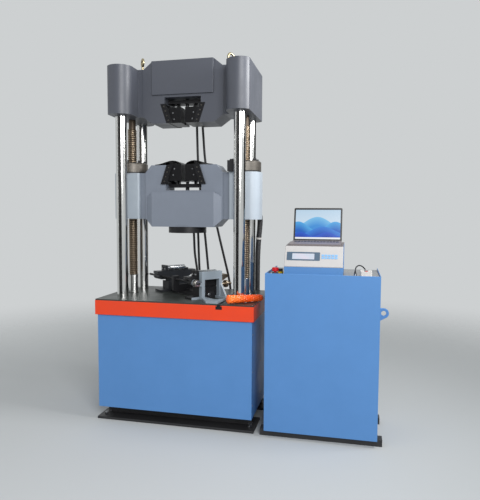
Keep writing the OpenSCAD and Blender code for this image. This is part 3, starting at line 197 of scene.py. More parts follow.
def joined(forms):
    verts, faces = [], []
    for form_verts, form_faces in forms:
        start = len(verts)
        verts += list(form_verts)
        faces += [tuple(start + i for i in face) for face in form_faces]
    return verts, faces


def framed(outer, inner, low, high):
    """A flat frame between two outlines that have the same number of points."""
    count = len(outer)
    verts = []
    for height in (low, high):
        verts += [Vector((x, y, height)) for x, y in outer]
        verts += [Vector((x, y, height)) for x, y in inner]
    faces = []
    for k in range(count):
        j = (k + 1) % count
        faces.append((k, count + k, count + j, j))
        faces.append((2 * count + k, 2 * count + j, 3 * count + j, 3 * count + k))
        faces.append((k, j, 2 * count + j, 2 * count + k))
        faces.append((count + k, 3 * count + k, 3 * count + j, count + j))
    return verts, faces


def aimed(point, direction, spin=0.0):
    """A matrix that puts a form's Z along a direction at a point."""
    turn = Vector(direction).to_track_quat("Z", "Y").to_matrix().to_4x4()
    return Matrix.Translation(Vector(point)) @ turn @ Matrix.Rotation(spin, 4, "Z")


# %% Tubes along a path
def smooth_path(points, steps):
    """A round curve through the points, as short straight pieces."""
    ends = [points[0] * 2 - points[1]] + points + [points[-1] * 2 - points[-2]]
    path = []
    for i in range(1, len(ends) - 2):
        a, b, c, d = ends[i - 1], ends[i], ends[i + 1], ends[i + 2]
        for k in range(steps):
            t = k / steps
            path.append(0.5 * ((2 * b) + (c - a) * t + (2 * a - 5 * b + 4 * c - d) * t * t
                               + (3 * b - a - 3 * c + d) * t ** 3))
    path.append(points[-1])
    return path


def path_length(path):
    return sum((b - a).length for a, b in zip(path, path[1:]))


def tube(path, radii, sides=16):
    """Rings of the given radii along the path, carried without twisting."""
    verts = []
    across = None
    for i, point in enumerate(path):
        ahead = (path[min(i + 1, len(path) - 1)] - path[max(i - 1, 0)]).normalized()
        if across is None:
            across = ahead.orthogonal().normalized()
        across = (across - ahead * across.dot(ahead)).normalized()
        other = ahead.cross(across)
        verts += [point + radii[i] * (c * across + s * other) for c, s in circle(sides)]
    return verts, ring_faces(len(path), sides)


# %% [markdown]
# ## Hoses, conduit and the pendant's cable
# Four rubber hoses feed the two grips, and a corrugated conduit carries the crosshead's wiring. Both ends
# of each are fixed: one at a port on a moving crosshead, one at the manifold on the base. Each is a mesh
# tube along the same points as its solid, not a curve object. The hose hangs down behind the table and
# comes up again in a loop, which is the spare length that the travel uses.

# %% Routes of the cords, in millimetres
MM = 0.001
HOSE_DIAMETER = 0.016
CONDUIT_DIAMETER = 0.036
CABLE_DIAMETER = 0.007
ROUTES = {
    "hose_upper_left": [
        (-28, 112, 2006), (-28, 170, 2006), (-29, 240, 1978), (-31, 290, 1890), (-33, 308, 1790),
        (-30, 318, 1620), (-12, 325, 1380), (16, 328, 1120), (34, 332, 930), (48, 334, 760),
        (60, 334, 560), (66, 334, 400), (68, 334, 220), (88, 334, 160), (150, 334, 135),
        (208, 334, 160), (228, 334, 220), (228, 334, 280)],
    "hose_upper_right": [
        (8, 112, 2006), (8, 170, 2006), (8, 240, 1978), (8, 292, 1890), (9, 315, 1790),
        (19, 328, 1625), (56, 340, 1380), (103, 350, 1150), (150, 357, 950), (180, 360, 820),
        (196, 360, 700), (190, 360, 560), (184, 360, 440), (183, 360, 240), (200, 360, 178),
        (268, 360, 148), (336, 360, 178), (354, 360, 236), (354, 360, 280)],
    "hose_middle_left": [
        (-70, 125, 1300), (-70, 175, 1300), (-69, 230, 1280), (-66, 290, 1220), (-62, 318, 1130),
        (-59, 328, 1000), (-50, 332, 920), (-42, 334, 850), (-34, 334, 640), (-34, 334, 400),
        (-34, 334, 230), (-54, 334, 168), (-104, 334, 142), (-154, 334, 168), (-176, 334, 230),
        (-176, 334, 280)],
    "hose_middle_right": [
        (-40, 125, 1300), (-40, 175, 1300), (-39, 235, 1280), (-38, 305, 1220), (-38, 340, 1130),
        (-37, 352, 1000), (-35, 356, 920), (-31, 358, 850), (-10, 358, 640), (2, 358, 400),
        (0, 358, 210), (-16, 358, 146), (-60, 358, 116), (-104, 358, 146), (-120, 358, 210),
        (-120, 358, 280)],
    "conduit": [
        (430, 96.3, 1270), (430, 130, 1270), (429, 172, 1264), (427, 210, 1247), (423, 241, 1218),
        (416, 266, 1170), (407, 286, 1110), (399, 305, 1040), (393, 322, 960), (390, 334, 870),
        (389, 338, 780), (389, 338, 640), (389, 338, 480), (389, 338, 346)],
    "pendant_cable": [
        (1043, -172, 932), (1043, -172, 950), (1048, -164, 968), (1062, -146, 976), (1080, -128, 970),
        (1095, -117, 955), (1101.5, -122, 942), (1101.5, -139, 938)],
}
HOSES = ["hose_upper_left", "hose_upper_right", "hose_middle_left", "hose_middle_right"]
CORD_ENDS = {
    "hose_upper_left": ("load_frame", 0.34, 1.70),
    "hose_upper_right": ("load_frame", 0.34, 1.70),
    "hose_middle_left": ("middle_crosshead", 0.34, 1.15),
    "hose_middle_right": ("middle_crosshead", 0.34, 1.15),
    "conduit": ("middle_crosshead", 0.40, 1.10),
}


ROUTE_STEPS = 8


def route_of(name, steps=ROUTE_STEPS):
    return smooth_path([Vector(p) * MM for p in ROUTES[name]], steps)


# %% Hoses
for name in HOSES:
    path = route_of(name)
    form = tube(path, [HOSE_DIAMETER / 2] * len(path))
    hose = make_piece(name + "_rubber", *form, None, "black_rubber")
    carrier, low, high = CORD_ENDS[name]
    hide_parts(name)
    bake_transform(hose)
    print(name, round(path_length(path), 3), "m")

# %% Corrugated conduit
CONDUIT_PITCH = 0.009
CONDUIT_GROOVE = 0.0022
path = route_of("conduit", 4)
rings = int(path_length(path) / CONDUIT_PITCH) * 3
dense = []
reach = path_length(path)
for i in range(rings + 1):
    goal = reach * i / rings
    walked = 0.0
    for a, b in zip(path, path[1:]):
        step = (b - a).length
        if walked + step >= goal - 1e-9:
            dense.append(a.lerp(b, min(1.0, (goal - walked) / step)))
            break
        walked += step
radii = [CONDUIT_DIAMETER / 2 - (CONDUIT_GROOVE if i % 3 == 2 else 0.0) for i in range(len(dense))]
conduit = make_piece("conduit_corrugated", *tube(dense, radii, 20), None, "black_rubber")
carrier, low, high = CORD_ENDS["conduit"]
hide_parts("conduit")
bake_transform(conduit)
print("conduit rings:", len(dense))

# %% Pendant cable
path = route_of("pendant_cable")
pendant_cable = make_piece("pendant_cable_lead", *tube(path, [CABLE_DIAMETER / 2] * len(path), 12),
                           "base_frame", "black_rubber")
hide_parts("pendant_cable")
print("pendant cable:", round(path_length(path), 3), "m")

# %% [markdown]
# ## Shared surface effects
# Paint on a casting is never one flat value: it has a fine grain from the spray gun and slow, faint changes
# in gloss where hands and rags have been. Ground and turned steel carries fine lines. Each effect is a node
# group, built once with named inputs, so that every finish can use it at its own scale and strength.

# %% Node group helper
def new_group(name, inputs, outputs):
    group = bpy.data.node_groups.new(name, "ShaderNodeTree")
    for title, value in inputs:
        kind = "NodeSocketVector" if title in ("Vector", "Direction") else "NodeSocketFloat"
        socket = group.interface.new_socket(title, in_out="INPUT", socket_type=kind)
        if kind == "NodeSocketFloat":
            socket.default_value = value
    for title in outputs:
        kind = "NodeSocketColor" if title == "Color" else "NodeSocketFloat"
        group.interface.new_socket(title, in_out="OUTPUT", socket_type=kind)
    start = group.nodes.new("NodeGroupInput")
    end = group.nodes.new("NodeGroupOutput")
    return group, start, end


def feed(tree, socket, value):
    """Link a socket to another one, or give it a plain value."""
    if isinstance(value, bpy.types.NodeSocket):
        tree.links.new(value, socket)
    else:
        socket.default_value = value


def math_node(tree, operation, first, second, clamp=False):
    node = tree.nodes.new("ShaderNodeMath")
    node.operation = operation
    node.use_clamp = clamp
    feed(tree, node.inputs[0], first)
    feed(tree, node.inputs[1], second)
    return node.outputs[0]


def vector_math(tree, operation, first, second):
    node = tree.nodes.new("ShaderNodeVectorMath")
    node.operation = operation
    feed(tree, node.inputs[0], first)
    feed(tree, node.inputs[1], second)
    return node.outputs["Value"]


def noise_node(tree, vector, scale, detail, roughness=0.5):
    node = tree.nodes.new("ShaderNodeTexNoise")
    node.inputs["Detail"].default_value = detail
    node.inputs["Roughness"].default_value = roughness
    tree.links.new(vector, node.inputs["Vector"])
    feed(tree, node.inputs["Scale"], scale)
    return node.outputs["Fac"]


def map_range(tree, value, source, low, high, curve="LINEAR"):
    """A value's stretch from source[0] to source[1] becomes low to high."""
    node = tree.nodes.new("ShaderNodeMapRange")
    node.interpolation_type = curve
    tree.links.new(value, node.inputs["Value"])
    for title, limit in zip(("From Min", "From Max", "To Min", "To Max"), (*source, low, high)):
        node.inputs[title].default_value = limit
    return node.outputs["Result"]


# %% Paint grain group
inputs = [("Vector", None), ("Scale", 400.0), ("Mottle Scale", 6.0)]
paint_grain, start, end = new_group("paint grain", inputs, ["Height", "Mottle"])
fine = noise_node(paint_grain, start.outputs["Vector"], start.outputs["Scale"], 3.0)
slow = noise_node(paint_grain, start.outputs["Vector"], start.outputs["Mottle Scale"], 5.0, 0.6)
paint_grain.links.new(fine, end.inputs["Height"])
paint_grain.links.new(slow, end.inputs["Mottle"])
print("group:", paint_grain.name)

# %% Machining lines group
inputs = [("Vector", None), ("Line Scale", 900.0), ("Mottle Scale", 9.0)]
machining, start, end = new_group("machining lines", inputs, ["Lines", "Mottle"])
stretch = machining.nodes.new("ShaderNodeMapping")
stretch.inputs["Scale"].default_value = (0.03, 0.03, 1.0)
machining.links.new(start.outputs["Vector"], stretch.inputs["Vector"])
lines = noise_node(machining, stretch.outputs["Vector"], start.outputs["Line Scale"], 2.0)
slow = noise_node(machining, start.outputs["Vector"], start.outputs["Mottle Scale"], 4.0, 0.6)
machining.links.new(lines, end.inputs["Lines"])
machining.links.new(slow, end.inputs["Mottle"])
print("group:", machining.name)

# %% Edge wear group
inputs = [("Vector", None), ("Width", 0.002), ("Amount", 0.5)]
edge_wear, start, end = new_group("edge wear", inputs, ["Wear"])
rounding = edge_wear.nodes.new("ShaderNodeBevel")
rounding.samples = 4
edge_wear.links.new(start.outputs["Width"], rounding.inputs["Radius"])
facing = edge_wear.nodes.new("ShaderNodeNewGeometry")
agreement = vector_math(edge_wear, "DOT_PRODUCT", rounding.outputs["Normal"], facing.outputs["Normal"])
turned_away = math_node(edge_wear, "SUBTRACT", 1.0, agreement, True)
sharpened = math_node(edge_wear, "MULTIPLY", turned_away, 9.0, True)
patches = noise_node(edge_wear, start.outputs["Vector"], 90.0, 4.0, 0.7)
broken = math_node(edge_wear, "MULTIPLY", sharpened, patches, True)
scaled = math_node(edge_wear, "MULTIPLY", broken, start.outputs["Amount"], True)
edge_wear.links.new(scaled, end.inputs["Wear"])
print("group:", edge_wear.name)

# %% Band mask group
inputs = [("Vector", None), ("Direction", None), ("Low", 0.0), ("High", 1.0)]
band_mask, start, end = new_group("band mask", inputs, ["Mask"])
along = vector_math(band_mask, "DOT_PRODUCT", start.outputs["Vector"], start.outputs["Direction"])
past_low = math_node(band_mask, "GREATER_THAN", along, start.outputs["Low"])
before_high = math_node(band_mask, "LESS_THAN", along, start.outputs["High"])
band_mask.links.new(math_node(band_mask, "MULTIPLY", past_low, before_high), end.inputs["Mask"])
print("group:", band_mask.name)

# %% [markdown]
# ## Finishes
# Colours are written as they look on a screen and turned into the linear values that the shader wants. Each
# finish starts from a Principled shader. A painted one mixes a lighter tone in at worn edges and a second
# tone by the slow mottle, and lets the same mottle shift the roughness, so a big flat sheet still has some
# life.

# %% Material helpers
NOISE_RANGE = (0.3, 0.7)


def linear(code):
    values = [int(code[i:i + 2], 16) / 255 for i in (1, 3, 5)]
    return tuple(v / 12.92 if v <= 0.04045 else ((v + 0.055) / 1.055) ** 2.4 for v in values) + (1.0,)


def new_material(name, color, roughness, metallic=0.0):
    material = bpy.data.materials.new(name)
    material.use_nodes = True
    tree = material.node_tree
    shader = tree.nodes["Principled BSDF"]
    shader.inputs["Base Color"].default_value = linear(color)
    shader.inputs["Roughness"].default_value = roughness
    shader.inputs["Metallic"].default_value = metallic
    where = tree.nodes.new("ShaderNodeTexCoord")
    return material, tree, shader, where.outputs["Object"]


def use_group(tree, group, vector, **values):
    node = tree.nodes.new("ShaderNodeGroup")
    node.node_tree = group
    node.name = group.name
    tree.links.new(vector, node.inputs["Vector"])
    for title, value in values.items():
        node.inputs[title.replace("_", " ")].default_value = value
    return node


def spread(tree, value, low, high):
    """Noise stays mostly between these two, so that part is stretched."""
    return map_range(tree, value, NOISE_RANGE, low, high)


def mix_colors(tree, factor, first, second):
    node = tree.nodes.new("ShaderNodeMix")
    node.data_type = "RGBA"
    feed(tree, node.inputs[6], first)
    feed(tree, node.inputs[7], second)
    tree.links.new(factor, node.inputs[0])
    return node.outputs[2]


def ramp_between(tree, value, first, second):
    return mix_colors(tree, value, linear(first), linear(second))


def two_tones(tree, mottle, first, second):
    return ramp_between(tree, spread(tree, mottle, 0.0, 1.0), first, second)


def add_bump(tree, shader, height, strength, distance):
    bump = tree.nodes.new("ShaderNodeBump")
    bump.inputs["Strength"].default_value = strength
    bump.inputs["Distance"].default_value = distance
    tree.links.new(height, bump.inputs["Height"])
    tree.links.new(bump.outputs["Normal"], shader.inputs["Normal"])


# %% Masks and second finishes
def band(tree, vector, direction, low, high):
    """One where a point lies between two heights along a direction."""
    node = use_group(tree, band_mask, vector, Low=low, High=high)
    node.inputs["Direction"].default_value = direction
    return node.outputs["Mask"]


def mix_values(tree, factor, first, second):
    node = tree.nodes.new("ShaderNodeMix")
    feed(tree, node.inputs[2], first)
    feed(tree, node.inputs[3], second)
    tree.links.new(factor, node.inputs[0])
    return node.outputs[0]


def present(socket):
    """What a socket shows now: the value linked to it, or its own."""
    if socket.is_linked:
        return socket.links[0].from_socket
    value = socket.default_value
    return value if isinstance(value, float) else tuple(value)


def cover(material, bands, color, roughness, metallic=0.0, vector="Object"):
    """A second finish over the first, where all of the bands meet."""
    tree = material.node_tree
    shader = tree.nodes["Principled BSDF"]
    source = tree.nodes["Texture Coordinate"].outputs[vector]
    mask = band(tree, source, *bands[0])
    for limits in bands[1:]:
        mask = math_node(tree, "MULTIPLY", mask, band(tree, source, *limits))
    shown = mix_colors(tree, mask, present(shader.inputs["Base Color"]), linear(color))
    gloss = mix_values(tree, mask, present(shader.inputs["Roughness"]), roughness)
    shine = mix_values(tree, mask, present(shader.inputs["Metallic"]), metallic)
    tree.links.new(shown, shader.inputs["Base Color"])
    tree.links.new(gloss, shader.inputs["Roughness"])
    tree.links.new(shine, shader.inputs["Metallic"])


X_AXIS = (1.0, 0.0, 0.0)
Y_AXIS = (0.0, 1.0, 0.0)
Z_AXIS = (0.0, 0.0, 1.0)
FAR = 9.0


# %% Painted finishes
def painted(name, color, second, worn, roughness, grain=420.0, bump=0.15, wear=0.35):
    material, tree, shader, where = new_material(name, color, roughness)
    grain_node = use_group(tree, paint_grain, where, Scale=grain, Mottle_Scale=5.0)
    wear_node = use_group(tree, edge_wear, where, Width=0.002, Amount=wear)
    base = two_tones(tree, grain_node.outputs["Mottle"], color, second)
    shown = mix_colors(tree, wear_node.outputs["Wear"], base, linear(worn))
    tree.links.new(shown, shader.inputs["Base Color"])
    gloss = spread(tree, grain_node.outputs["Mottle"], roughness - 0.06, roughness + 0.08)
    tree.links.new(gloss, shader.inputs["Roughness"])
    add_bump(tree, shader, grain_node.outputs["Height"], bump, 0.0006)
    return material


finishes = {
    "cabinet_blue": painted("blue powder coat", "#4E7FB7", "#4A7BB2", "#7FA3CC", 0.42),
    "table_orange": painted("orange enamel", "#DB3E16", "#D23A13", "#E87452", 0.38),
    "crosshead_dark": painted("dark grey enamel", "#4A4D56", "#454850", "#767B86", 0.42, 300.0, 0.25),
    "crosshead_mid": painted("grey enamel", "#727985", "#6C737F", "#9AA2AE", 0.42, 300.0, 0.25),
    "housing_pale": painted("pale grey enamel", "#9FA8B1", "#98A1AA", "#C6CCD3", 0.42, 300.0, 0.25),
    "seat_grey": painted("seat grey enamel", "#828A8E", "#777F83", "#AAB1B5", 0.38, 300.0, 0.25),
    "black": painted("black enamel", "#222224", "#28282A", "#404044", 0.45),
    "cylinder_grey": painted("machine grey enamel", "#5A5C60", "#525458", "#7C7E84", 0.45),
}
print("painted finishes:", len(finishes))

# %% [markdown]
# Bare steel comes in four states here: chromed columns, ground rods, dull gauge-block black on the grips,
# and the warm, oiled steel of the lead screws. All are metallic, and the difference is in colour, roughness
# and how strongly the machining lines show. The chrome is the smoothest of all, with next to no bump, so
# that its bands of light stay straight down the whole column.

# %% Metal finishes
def metal(name, color, second, roughness, line_scale=900.0, bump=0.1, metallic=1.0):
    material, tree, shader, where = new_material(name, color, roughness, metallic)
    line_node = use_group(tree, machining, where, Line_Scale=line_scale, Mottle_Scale=9.0)
    tree.links.new(two_tones(tree, line_node.outputs["Mottle"], color, second), shader.inputs["Base Color"])
    gloss = spread(tree, line_node.outputs["Lines"], max(0.02, roughness - 0.08), roughness + 0.1)
    tree.links.new(gloss, shader.inputs["Roughness"])
    add_bump(tree, shader, line_node.outputs["Lines"], bump, 0.0002)
    return material


def chrome(name, color, second, roughness):
    material, tree, shader, where = new_material(name, color, roughness, 1.0)
    line_node = use_group(tree, machining, where, Line_Scale=1400.0, Mottle_Scale=4.0)
    tree.links.new(two_tones(tree, line_node.outputs["Mottle"], color, second), shader.inputs["Base Color"])
    gloss = spread(tree, line_node.outputs["Mottle"], roughness, roughness + 0.05)
    tree.links.new(gloss, shader.inputs["Roughness"])
    return material


finishes["chrome_column"] = chrome("hard chrome", "#DEDEDC", "#D4D4D2", 0.12)
finishes["polished_steel"] = metal("ground steel", "#C6C8CA", "#B9BBBE", 0.2)
finishes["bare_steel"] = metal("bare steel", "#B2B4B6", "#A2A4A8", 0.32)
finishes["warm_steel"] = metal("oiled steel", "#A89884", "#978874", 0.34)
finishes["dark_steel"] = metal("blackened steel", "#1D1D1F", "#252528", 0.38, 500.0, 0.15, 0.4)
finishes["collar_grey"] = metal("oiled collar", "#68635D", "#5A5650", 0.42, 500.0, 0.12, 0.6)
print("finishes:", len(finishes))


# %% Plastics and rubber
def plastic(name, color, second, roughness, grain=900.0, bump=0.1):
    material, tree, shader, where = new_material(name, color, roughness)
    grain_node = use_group(tree, paint_grain, where, Scale=grain, Mottle_Scale=12.0)
    tree.links.new(two_tones(tree, grain_node.outputs["Mottle"], color, second), shader.inputs["Base Color"])
    gloss = spread(tree, grain_node.outputs["Mottle"], roughness - 0.05, roughness + 0.07)
    tree.links.new(gloss, shader.inputs["Roughness"])
    add_bump(tree, shader, grain_node.outputs["Height"], bump, 0.0003)
    return material


finishes["black_plastic"] = plastic("black plastic", "#1A1A1D", "#202024", 0.45)
finishes["white_plastic"] = plastic("off-white plastic", "#C4C1BE", "#BDBAB6", 0.45)
finishes["yellow_plastic"] = plastic("yellow plastic", "#E9C21C", "#DDB518", 0.4)
finishes["red_plastic"] = plastic("red plastic", "#C9141C", "#BD1018", 0.28)
finishes["laptop_plastic"] = plastic("laptop shell", "#736C6E", "#6A6365", 0.42)
finishes["black_rubber"] = plastic("black rubber", "#17171A", "#1F1F22", 0.5, 700.0, 0.2)
finishes["slate_plastic"] = plastic("slate plastic", "#3E5468", "#394D60", 0.4)
finishes["wrap_orange"] = plastic("wrapped orange", "#FF4E10", "#FF7A2E", 0.16, 160.0, 0.2)
print("finishes:", len(finishes))

# %% [markdown]
# ## Lit panels
# The display on the controller is a plain lit panel. The laptop shows a picture, and it is drawn by the
# shader: a pale sky, and in front of it rows of soft hills, each one a sine wave that is filled below. Each
# hill gets a lighter crest and a darker foot, and a white bar lies along the bottom edge. The panel's own
# generated coordinates run from 0 to 1 across and up, so the hills are placed in shares of the screen.

# %% Hill mask group
inputs = [("Vector", None), ("Base", 0.5), ("Swing", 0.1), ("Waves", 6.0), ("Shift", 0.0)]
hill_mask, start, end = new_group("hill mask", inputs, ["Mask", "Depth"])
split = hill_mask.nodes.new("ShaderNodeSeparateXYZ")
hill_mask.links.new(start.outputs["Vector"], split.inputs["Vector"])
turns = math_node(hill_mask, "MULTIPLY", split.outputs["X"], start.outputs["Waves"])
turns = math_node(hill_mask, "ADD", turns, start.outputs["Shift"])
swing = math_node(hill_mask, "MULTIPLY", math_node(hill_mask, "SINE", turns, 0.0), start.outputs["Swing"])
crest = math_node(hill_mask, "ADD", swing, start.outputs["Base"])
below = math_node(hill_mask, "SUBTRACT", crest, split.outputs["Z"])
hill_mask.links.new(math_node(hill_mask, "MULTIPLY", below, 120.0, True), end.inputs["Mask"])
hill_mask.links.new(math_node(hill_mask, "MULTIPLY", below, 3.4, True), end.inputs["Depth"])
print("group:", hill_mask.name)

# %% Lit panels
SKY_LOW = "#E3EEF8"
SKY_HIGH = "#BFD9EE"
HILLS = [
    (0.56, 0.20, 5.2, 5.3, "#7FC4EE", "#3F92DC"),
    (0.45, 0.15, 7.6, 1.1, "#55AEEA", "#2065C4"),
    (0.31, 0.12, 6.4, 3.9, "#3B86DE", "#1A45B4"),
    (0.17, 0.07, 10.5, 0.4, "#2A5FD0", "#16208C"),
]
BAR_HEIGHT = 0.06


def lit_panel(name, color, strength):
    material, tree, shader, _ = new_material(name, "#101214", 0.2)
    shader.inputs["Emission Color"].default_value = linear(color)
    shader.inputs["Emission Strength"].default_value = strength
    return material, tree, shader


material, tree, shader = lit_panel("laptop picture", SKY_LOW, 0.9)
generated = tree.nodes["Texture Coordinate"].outputs["Generated"]
split = tree.nodes.new("ShaderNodeSeparateXYZ")
tree.links.new(generated, split.inputs["Vector"])
picture = ramp_between(tree, split.outputs["Z"], SKY_LOW, SKY_HIGH)
for base, swing, waves, shift, crest, foot in HILLS:
    hill = use_group(tree, hill_mask, generated, Base=base, Swing=swing, Waves=waves, Shift=shift)
    body = ramp_between(tree, hill.outputs["Depth"], crest, foot)
    picture = mix_colors(tree, hill.outputs["Mask"], picture, body)
bar = math_node(tree, "LESS_THAN", split.outputs["Z"], BAR_HEIGHT)
picture = mix_colors(tree, bar, picture, linear("#F2F5F8"))
tree.links.new(picture, shader.inputs["Emission Color"])
finishes["laptop_picture"] = material

material, tree, shader = lit_panel("lit display", "#E4E0F2", 0.9)
where = tree.nodes["Texture Coordinate"].outputs["Object"]
mottle = use_group(tree, paint_grain, where, Scale=60.0, Mottle_Scale=30.0)
glow = two_tones(tree, mottle.outputs["Mottle"], "#E9E3F2", "#D3E4F4")
tree.links.new(glow, shader.inputs["Emission Color"])
finishes["screen_glass"] = material
print("hills:", len(HILLS))

# %% [markdown]
# ## Second finishes on one solid
# Some solids hold more than one material: a grip guide is black with bright bolts, a collar is near-black in
# a band at its foot, and the controller's case is blue below and dark on top. A mask picks the area by its
# height along a direction, so no face has to be selected by hand.

# %% Finishes for single nodes
BEND_TURN = math.radians(-40)
BEND_S = (math.cos(BEND_TURN), math.sin(BEND_TURN), 0.0)
BEND_W = (-math.sin(BEND_TURN), math.cos(BEND_TURN), 0.0)
BEND_CENTRE = Vector((0.0, 0.040, 0.0))
BEND_S_START = Vector(BEND_S).dot(BEND_CENTRE)
BEND_W_START = Vector(BEND_W).dot(BEND_CENTRE)
single = {}

single["upper_grip_guides"] = metal("guide black", "#1A1A1C", "#232326", 0.36, 500.0, 0.15, 0.4)
for side in (-1.0, 1.0):
    cover(single["upper_grip_guides"], [((0.0, side, 0.0), 0.0922, FAR)], "#8E8B84", 0.3, 1.0)
single["lower_grip_guides"] = single["upper_grip_guides"]

collars = finishes["collar_grey"]
cover(collars, [(Z_AXIS, 1.500, 1.5242)], "#17171A", 0.5)
cover(collars, [(Z_AXIS, 1.5842, FAR)], "#1B1B1E", 0.35, 0.5)

single["table_plate"] = plastic("ground table plate", "#313532", "#363A37", 0.33, 700.0, 0.02)

single["base_beams"] = painted("base black", "#222224", "#28282A", "#404044", 0.45)
for side in (-1.0, 1.0):
    limits = [((side, 0.0, 0.0), 0.442, 0.468), (Z_AXIS, 0.0152, 0.0275)]
    cover(single["base_beams"], limits, "#8C8E92", 0.35, 1.0)

single["controller_case"] = painted("controller blue", "#4E7FB7", "#4A7BB2", "#7FA3CC", 0.42)
cover(single["controller_case"], [(Z_AXIS, 0.9, FAR)], "#5F595B", 0.45, 0.0, "Normal")
FACE_OUT = (0.0, -0.9083, 0.4183)
cover(single["controller_case"], [(FACE_OUT, 0.95, FAR)], "#A5A3A2", 0.45, 0.0, "Normal")

fascia_origin = Vector((0.816, -0.274, 0.972))
fascia_height = fascia_origin.dot(Vector(FACE_OUT))
single["controller_fascia"] = plastic("fascia off-white", "#ABA9A9", "#A5A3A2", 0.45)
limits = [(FACE_OUT, fascia_height + 0.0032, FAR), (X_AXIS, 0.84, FAR)]
cover(single["controller_fascia"], limits, "#6E9CC6", 0.4)

single["control_bases"] = plastic("control base", "#E9C21C", "#DDB518", 0.4)
cover(single["control_bases"], [(Y_AXIS, -FAR, -0.190)], "#2A2A2D", 0.45)

single["table_slab"] = painted("table enamel", "#DB3E16", "#D23A13", "#E87452", 0.38)
# The inside of the T-slot is near-black: painted shade in the slot.
limits = [(X_AXIS, 0.2664, 0.3036), (Y_AXIS, -0.2996, FAR), (Z_AXIS, 0.70, 0.7389)]
cover(single["table_slab"], limits, "#1C1C1E", 0.6, 0.2)

single["bend_seat_front"] = painted("front seat grey", "#86909A", "#7F8990", "#AAB1B5", 0.38, 300.0, 0.25)
cover(single["bend_seat_front"], [(BEND_S, -FAR, 0.226 + BEND_S_START)], "#1D1D1F", 0.4, 0.4)
# The window through the grey end plate is near-black inside: painted shade in the opening.
limits = [(BEND_W, -0.0515 + BEND_W_START, 0.0515 + BEND_W_START), (Z_AXIS, 0.7615, 0.8665)]
cover(single["bend_seat_front"], limits, "#1D1D1F", 0.4, 0.4)
cover(single["bend_seat_front"], [(BEND_W, 0.0735 + BEND_W_START, FAR)], "#9B8E7C", 0.34, 0.9)

limits = [(BEND_W, -FAR, -0.0875 + BEND_W_START), (Z_AXIS, 0.8265, 0.872),
          (BEND_S, 0.234 + BEND_S_START, FAR)]
cover(single["bend_seat_front"], limits, "#8A8884", 0.3, 0.9)
single["bend_seat_rear"] = metal("rear seat black", "#34363A", "#2B2D30", 0.36, 500.0, 0.15, 0.4)

LAPTOP = (Matrix.Translation((0.818, -0.222, 1.085)) @ Matrix.Rotation(math.radians(3), 4, "X")
          @ Matrix.Translation((0, 0, 0.0003)))
LID = LAPTOP @ Matrix.Translation((0, 0.208, 0.0075)) @ Matrix.Rotation(math.radians(-17), 4, "X")
lid_back = tuple(LID.to_3x3() @ Vector((0, 1, 0)))
single["laptop_lid"] = plastic("lid black", "#141416", "#1A1A1C", 0.35)
cover(single["laptop_lid"], [(lid_back, 0.5, FAR)], "#736C6E", 0.42, 0.0, "Normal")
print("single finishes:", len(single))

# %% Serrated jaws and threaded bend screw
JAW_RIDGE = 0.0025
SCREW_RIDGE = 0.0020


def ridged(name, color, direction, pitch, strength, distance):
    """Fine ridges across a direction, as a bump that repeats with the pitch."""
    material, tree, shader, where = new_material(name, color, 0.36, 0.5)
    along = vector_math(tree, "DOT_PRODUCT", where, direction)
    turns = math_node(tree, "MULTIPLY", along, 2 * math.pi / pitch)
    add_bump(tree, shader, math_node(tree, "SINE", turns, 0.0), strength, distance)
    return material


jaw_black = ridged("jaw black", "#1C1C1E", Z_AXIS, JAW_RIDGE, 0.25, 0.0003)
for name in ["upper_jaw_left", "upper_jaw_right", "lower_jaw_left", "lower_jaw_right"]:
    single[name] = jaw_black
single["bend_screw"] = ridged("bend screw black", "#2A2A2C", BEND_S, SCREW_RIDGE, 0.8, 0.0008)
single["eye_bolts"] = metal("zinc yellow", "#BDB08F", "#A89B7C", 0.3)
print("ridged finishes: 2")

# %% [markdown]
# ## Dressing the solids
# The solids arrive with perfectly sharp edges, which no casting or bent sheet has. Their own points stay as
# they are, and three modifiers do the rest: Weld joins the split points, Bevel rounds every sharp edge a
# little, and Weighted Normal keeps the big faces flat under smooth shading.

# %% Soft edges and finishes for the solids
EDGE_RADIUS = {
    "upper_crosshead": 0.004, "middle_crosshead": 0.002, "nut_housings": 0.003, "table_slab": 0.0025,
    "table_plate": 0.001, "cabinet_shell": 0.0012, "controller_case": 0.003, "crosshead_covers": 0.002,
    "compression_platen": 0.002, "base_beams": 0.002, "pendant_case": 0.003, "skirt_front": 0.001,
    "lower_jaw_left": 0.0015, "lower_jaw_right": 0.0015, "upper_jaw_left": 0.0015, "upper_jaw_right": 0.0015,
}
SMALL_EDGE = 0.0006
CRISP = ["controller_case", "middle_crosshead", "upper_crosshead", "crosshead_covers", "nut_housings",
         "bend_seat_front", "bend_seat_rear", "cabinet_shell"]
CRISP_ANGLE = math.radians(18)
slots = {part["node"]: part["material_slot"] for part in frame["record"]["subparts"]}
for name, solid in nodes.items():
    mesh = solid.data
    mesh.polygons.foreach_set("use_smooth", [True] * len(mesh.polygons))
    if "custom_normal" in mesh.attributes:
        mesh.attributes.remove(mesh.attributes["custom_normal"])
    weld = solid.modifiers.new("weld", "WELD")
    weld.merge_threshold = 0.00002
    edges = solid.modifiers.new("soft edges", "BEVEL")
    edges.width = EDGE_RADIUS.get(name, SMALL_EDGE)
    edges.segments = 2
    edges.limit_method = "ANGLE"
    edges.angle_limit = CRISP_ANGLE if name in CRISP else SMOOTH_ANGLE
    edges.use_clamp_overlap = True
    normals = solid.modifiers.new("flat faces", "WEIGHTED_NORMAL")
    normals.keep_sharp = True
    mesh.materials.clear()
    mesh.materials.append(single.get(name, finishes[slots[name]]))
print("dressed:", len(nodes))


def dressed(name, form, body, slot, bevel=0.0, finish=None):
    """A new piece that gets its finish at once."""
    piece = make_piece(name, *form, body, slot, bevel)
    piece.data.materials.append(finishes[finish or slot])
    return piece


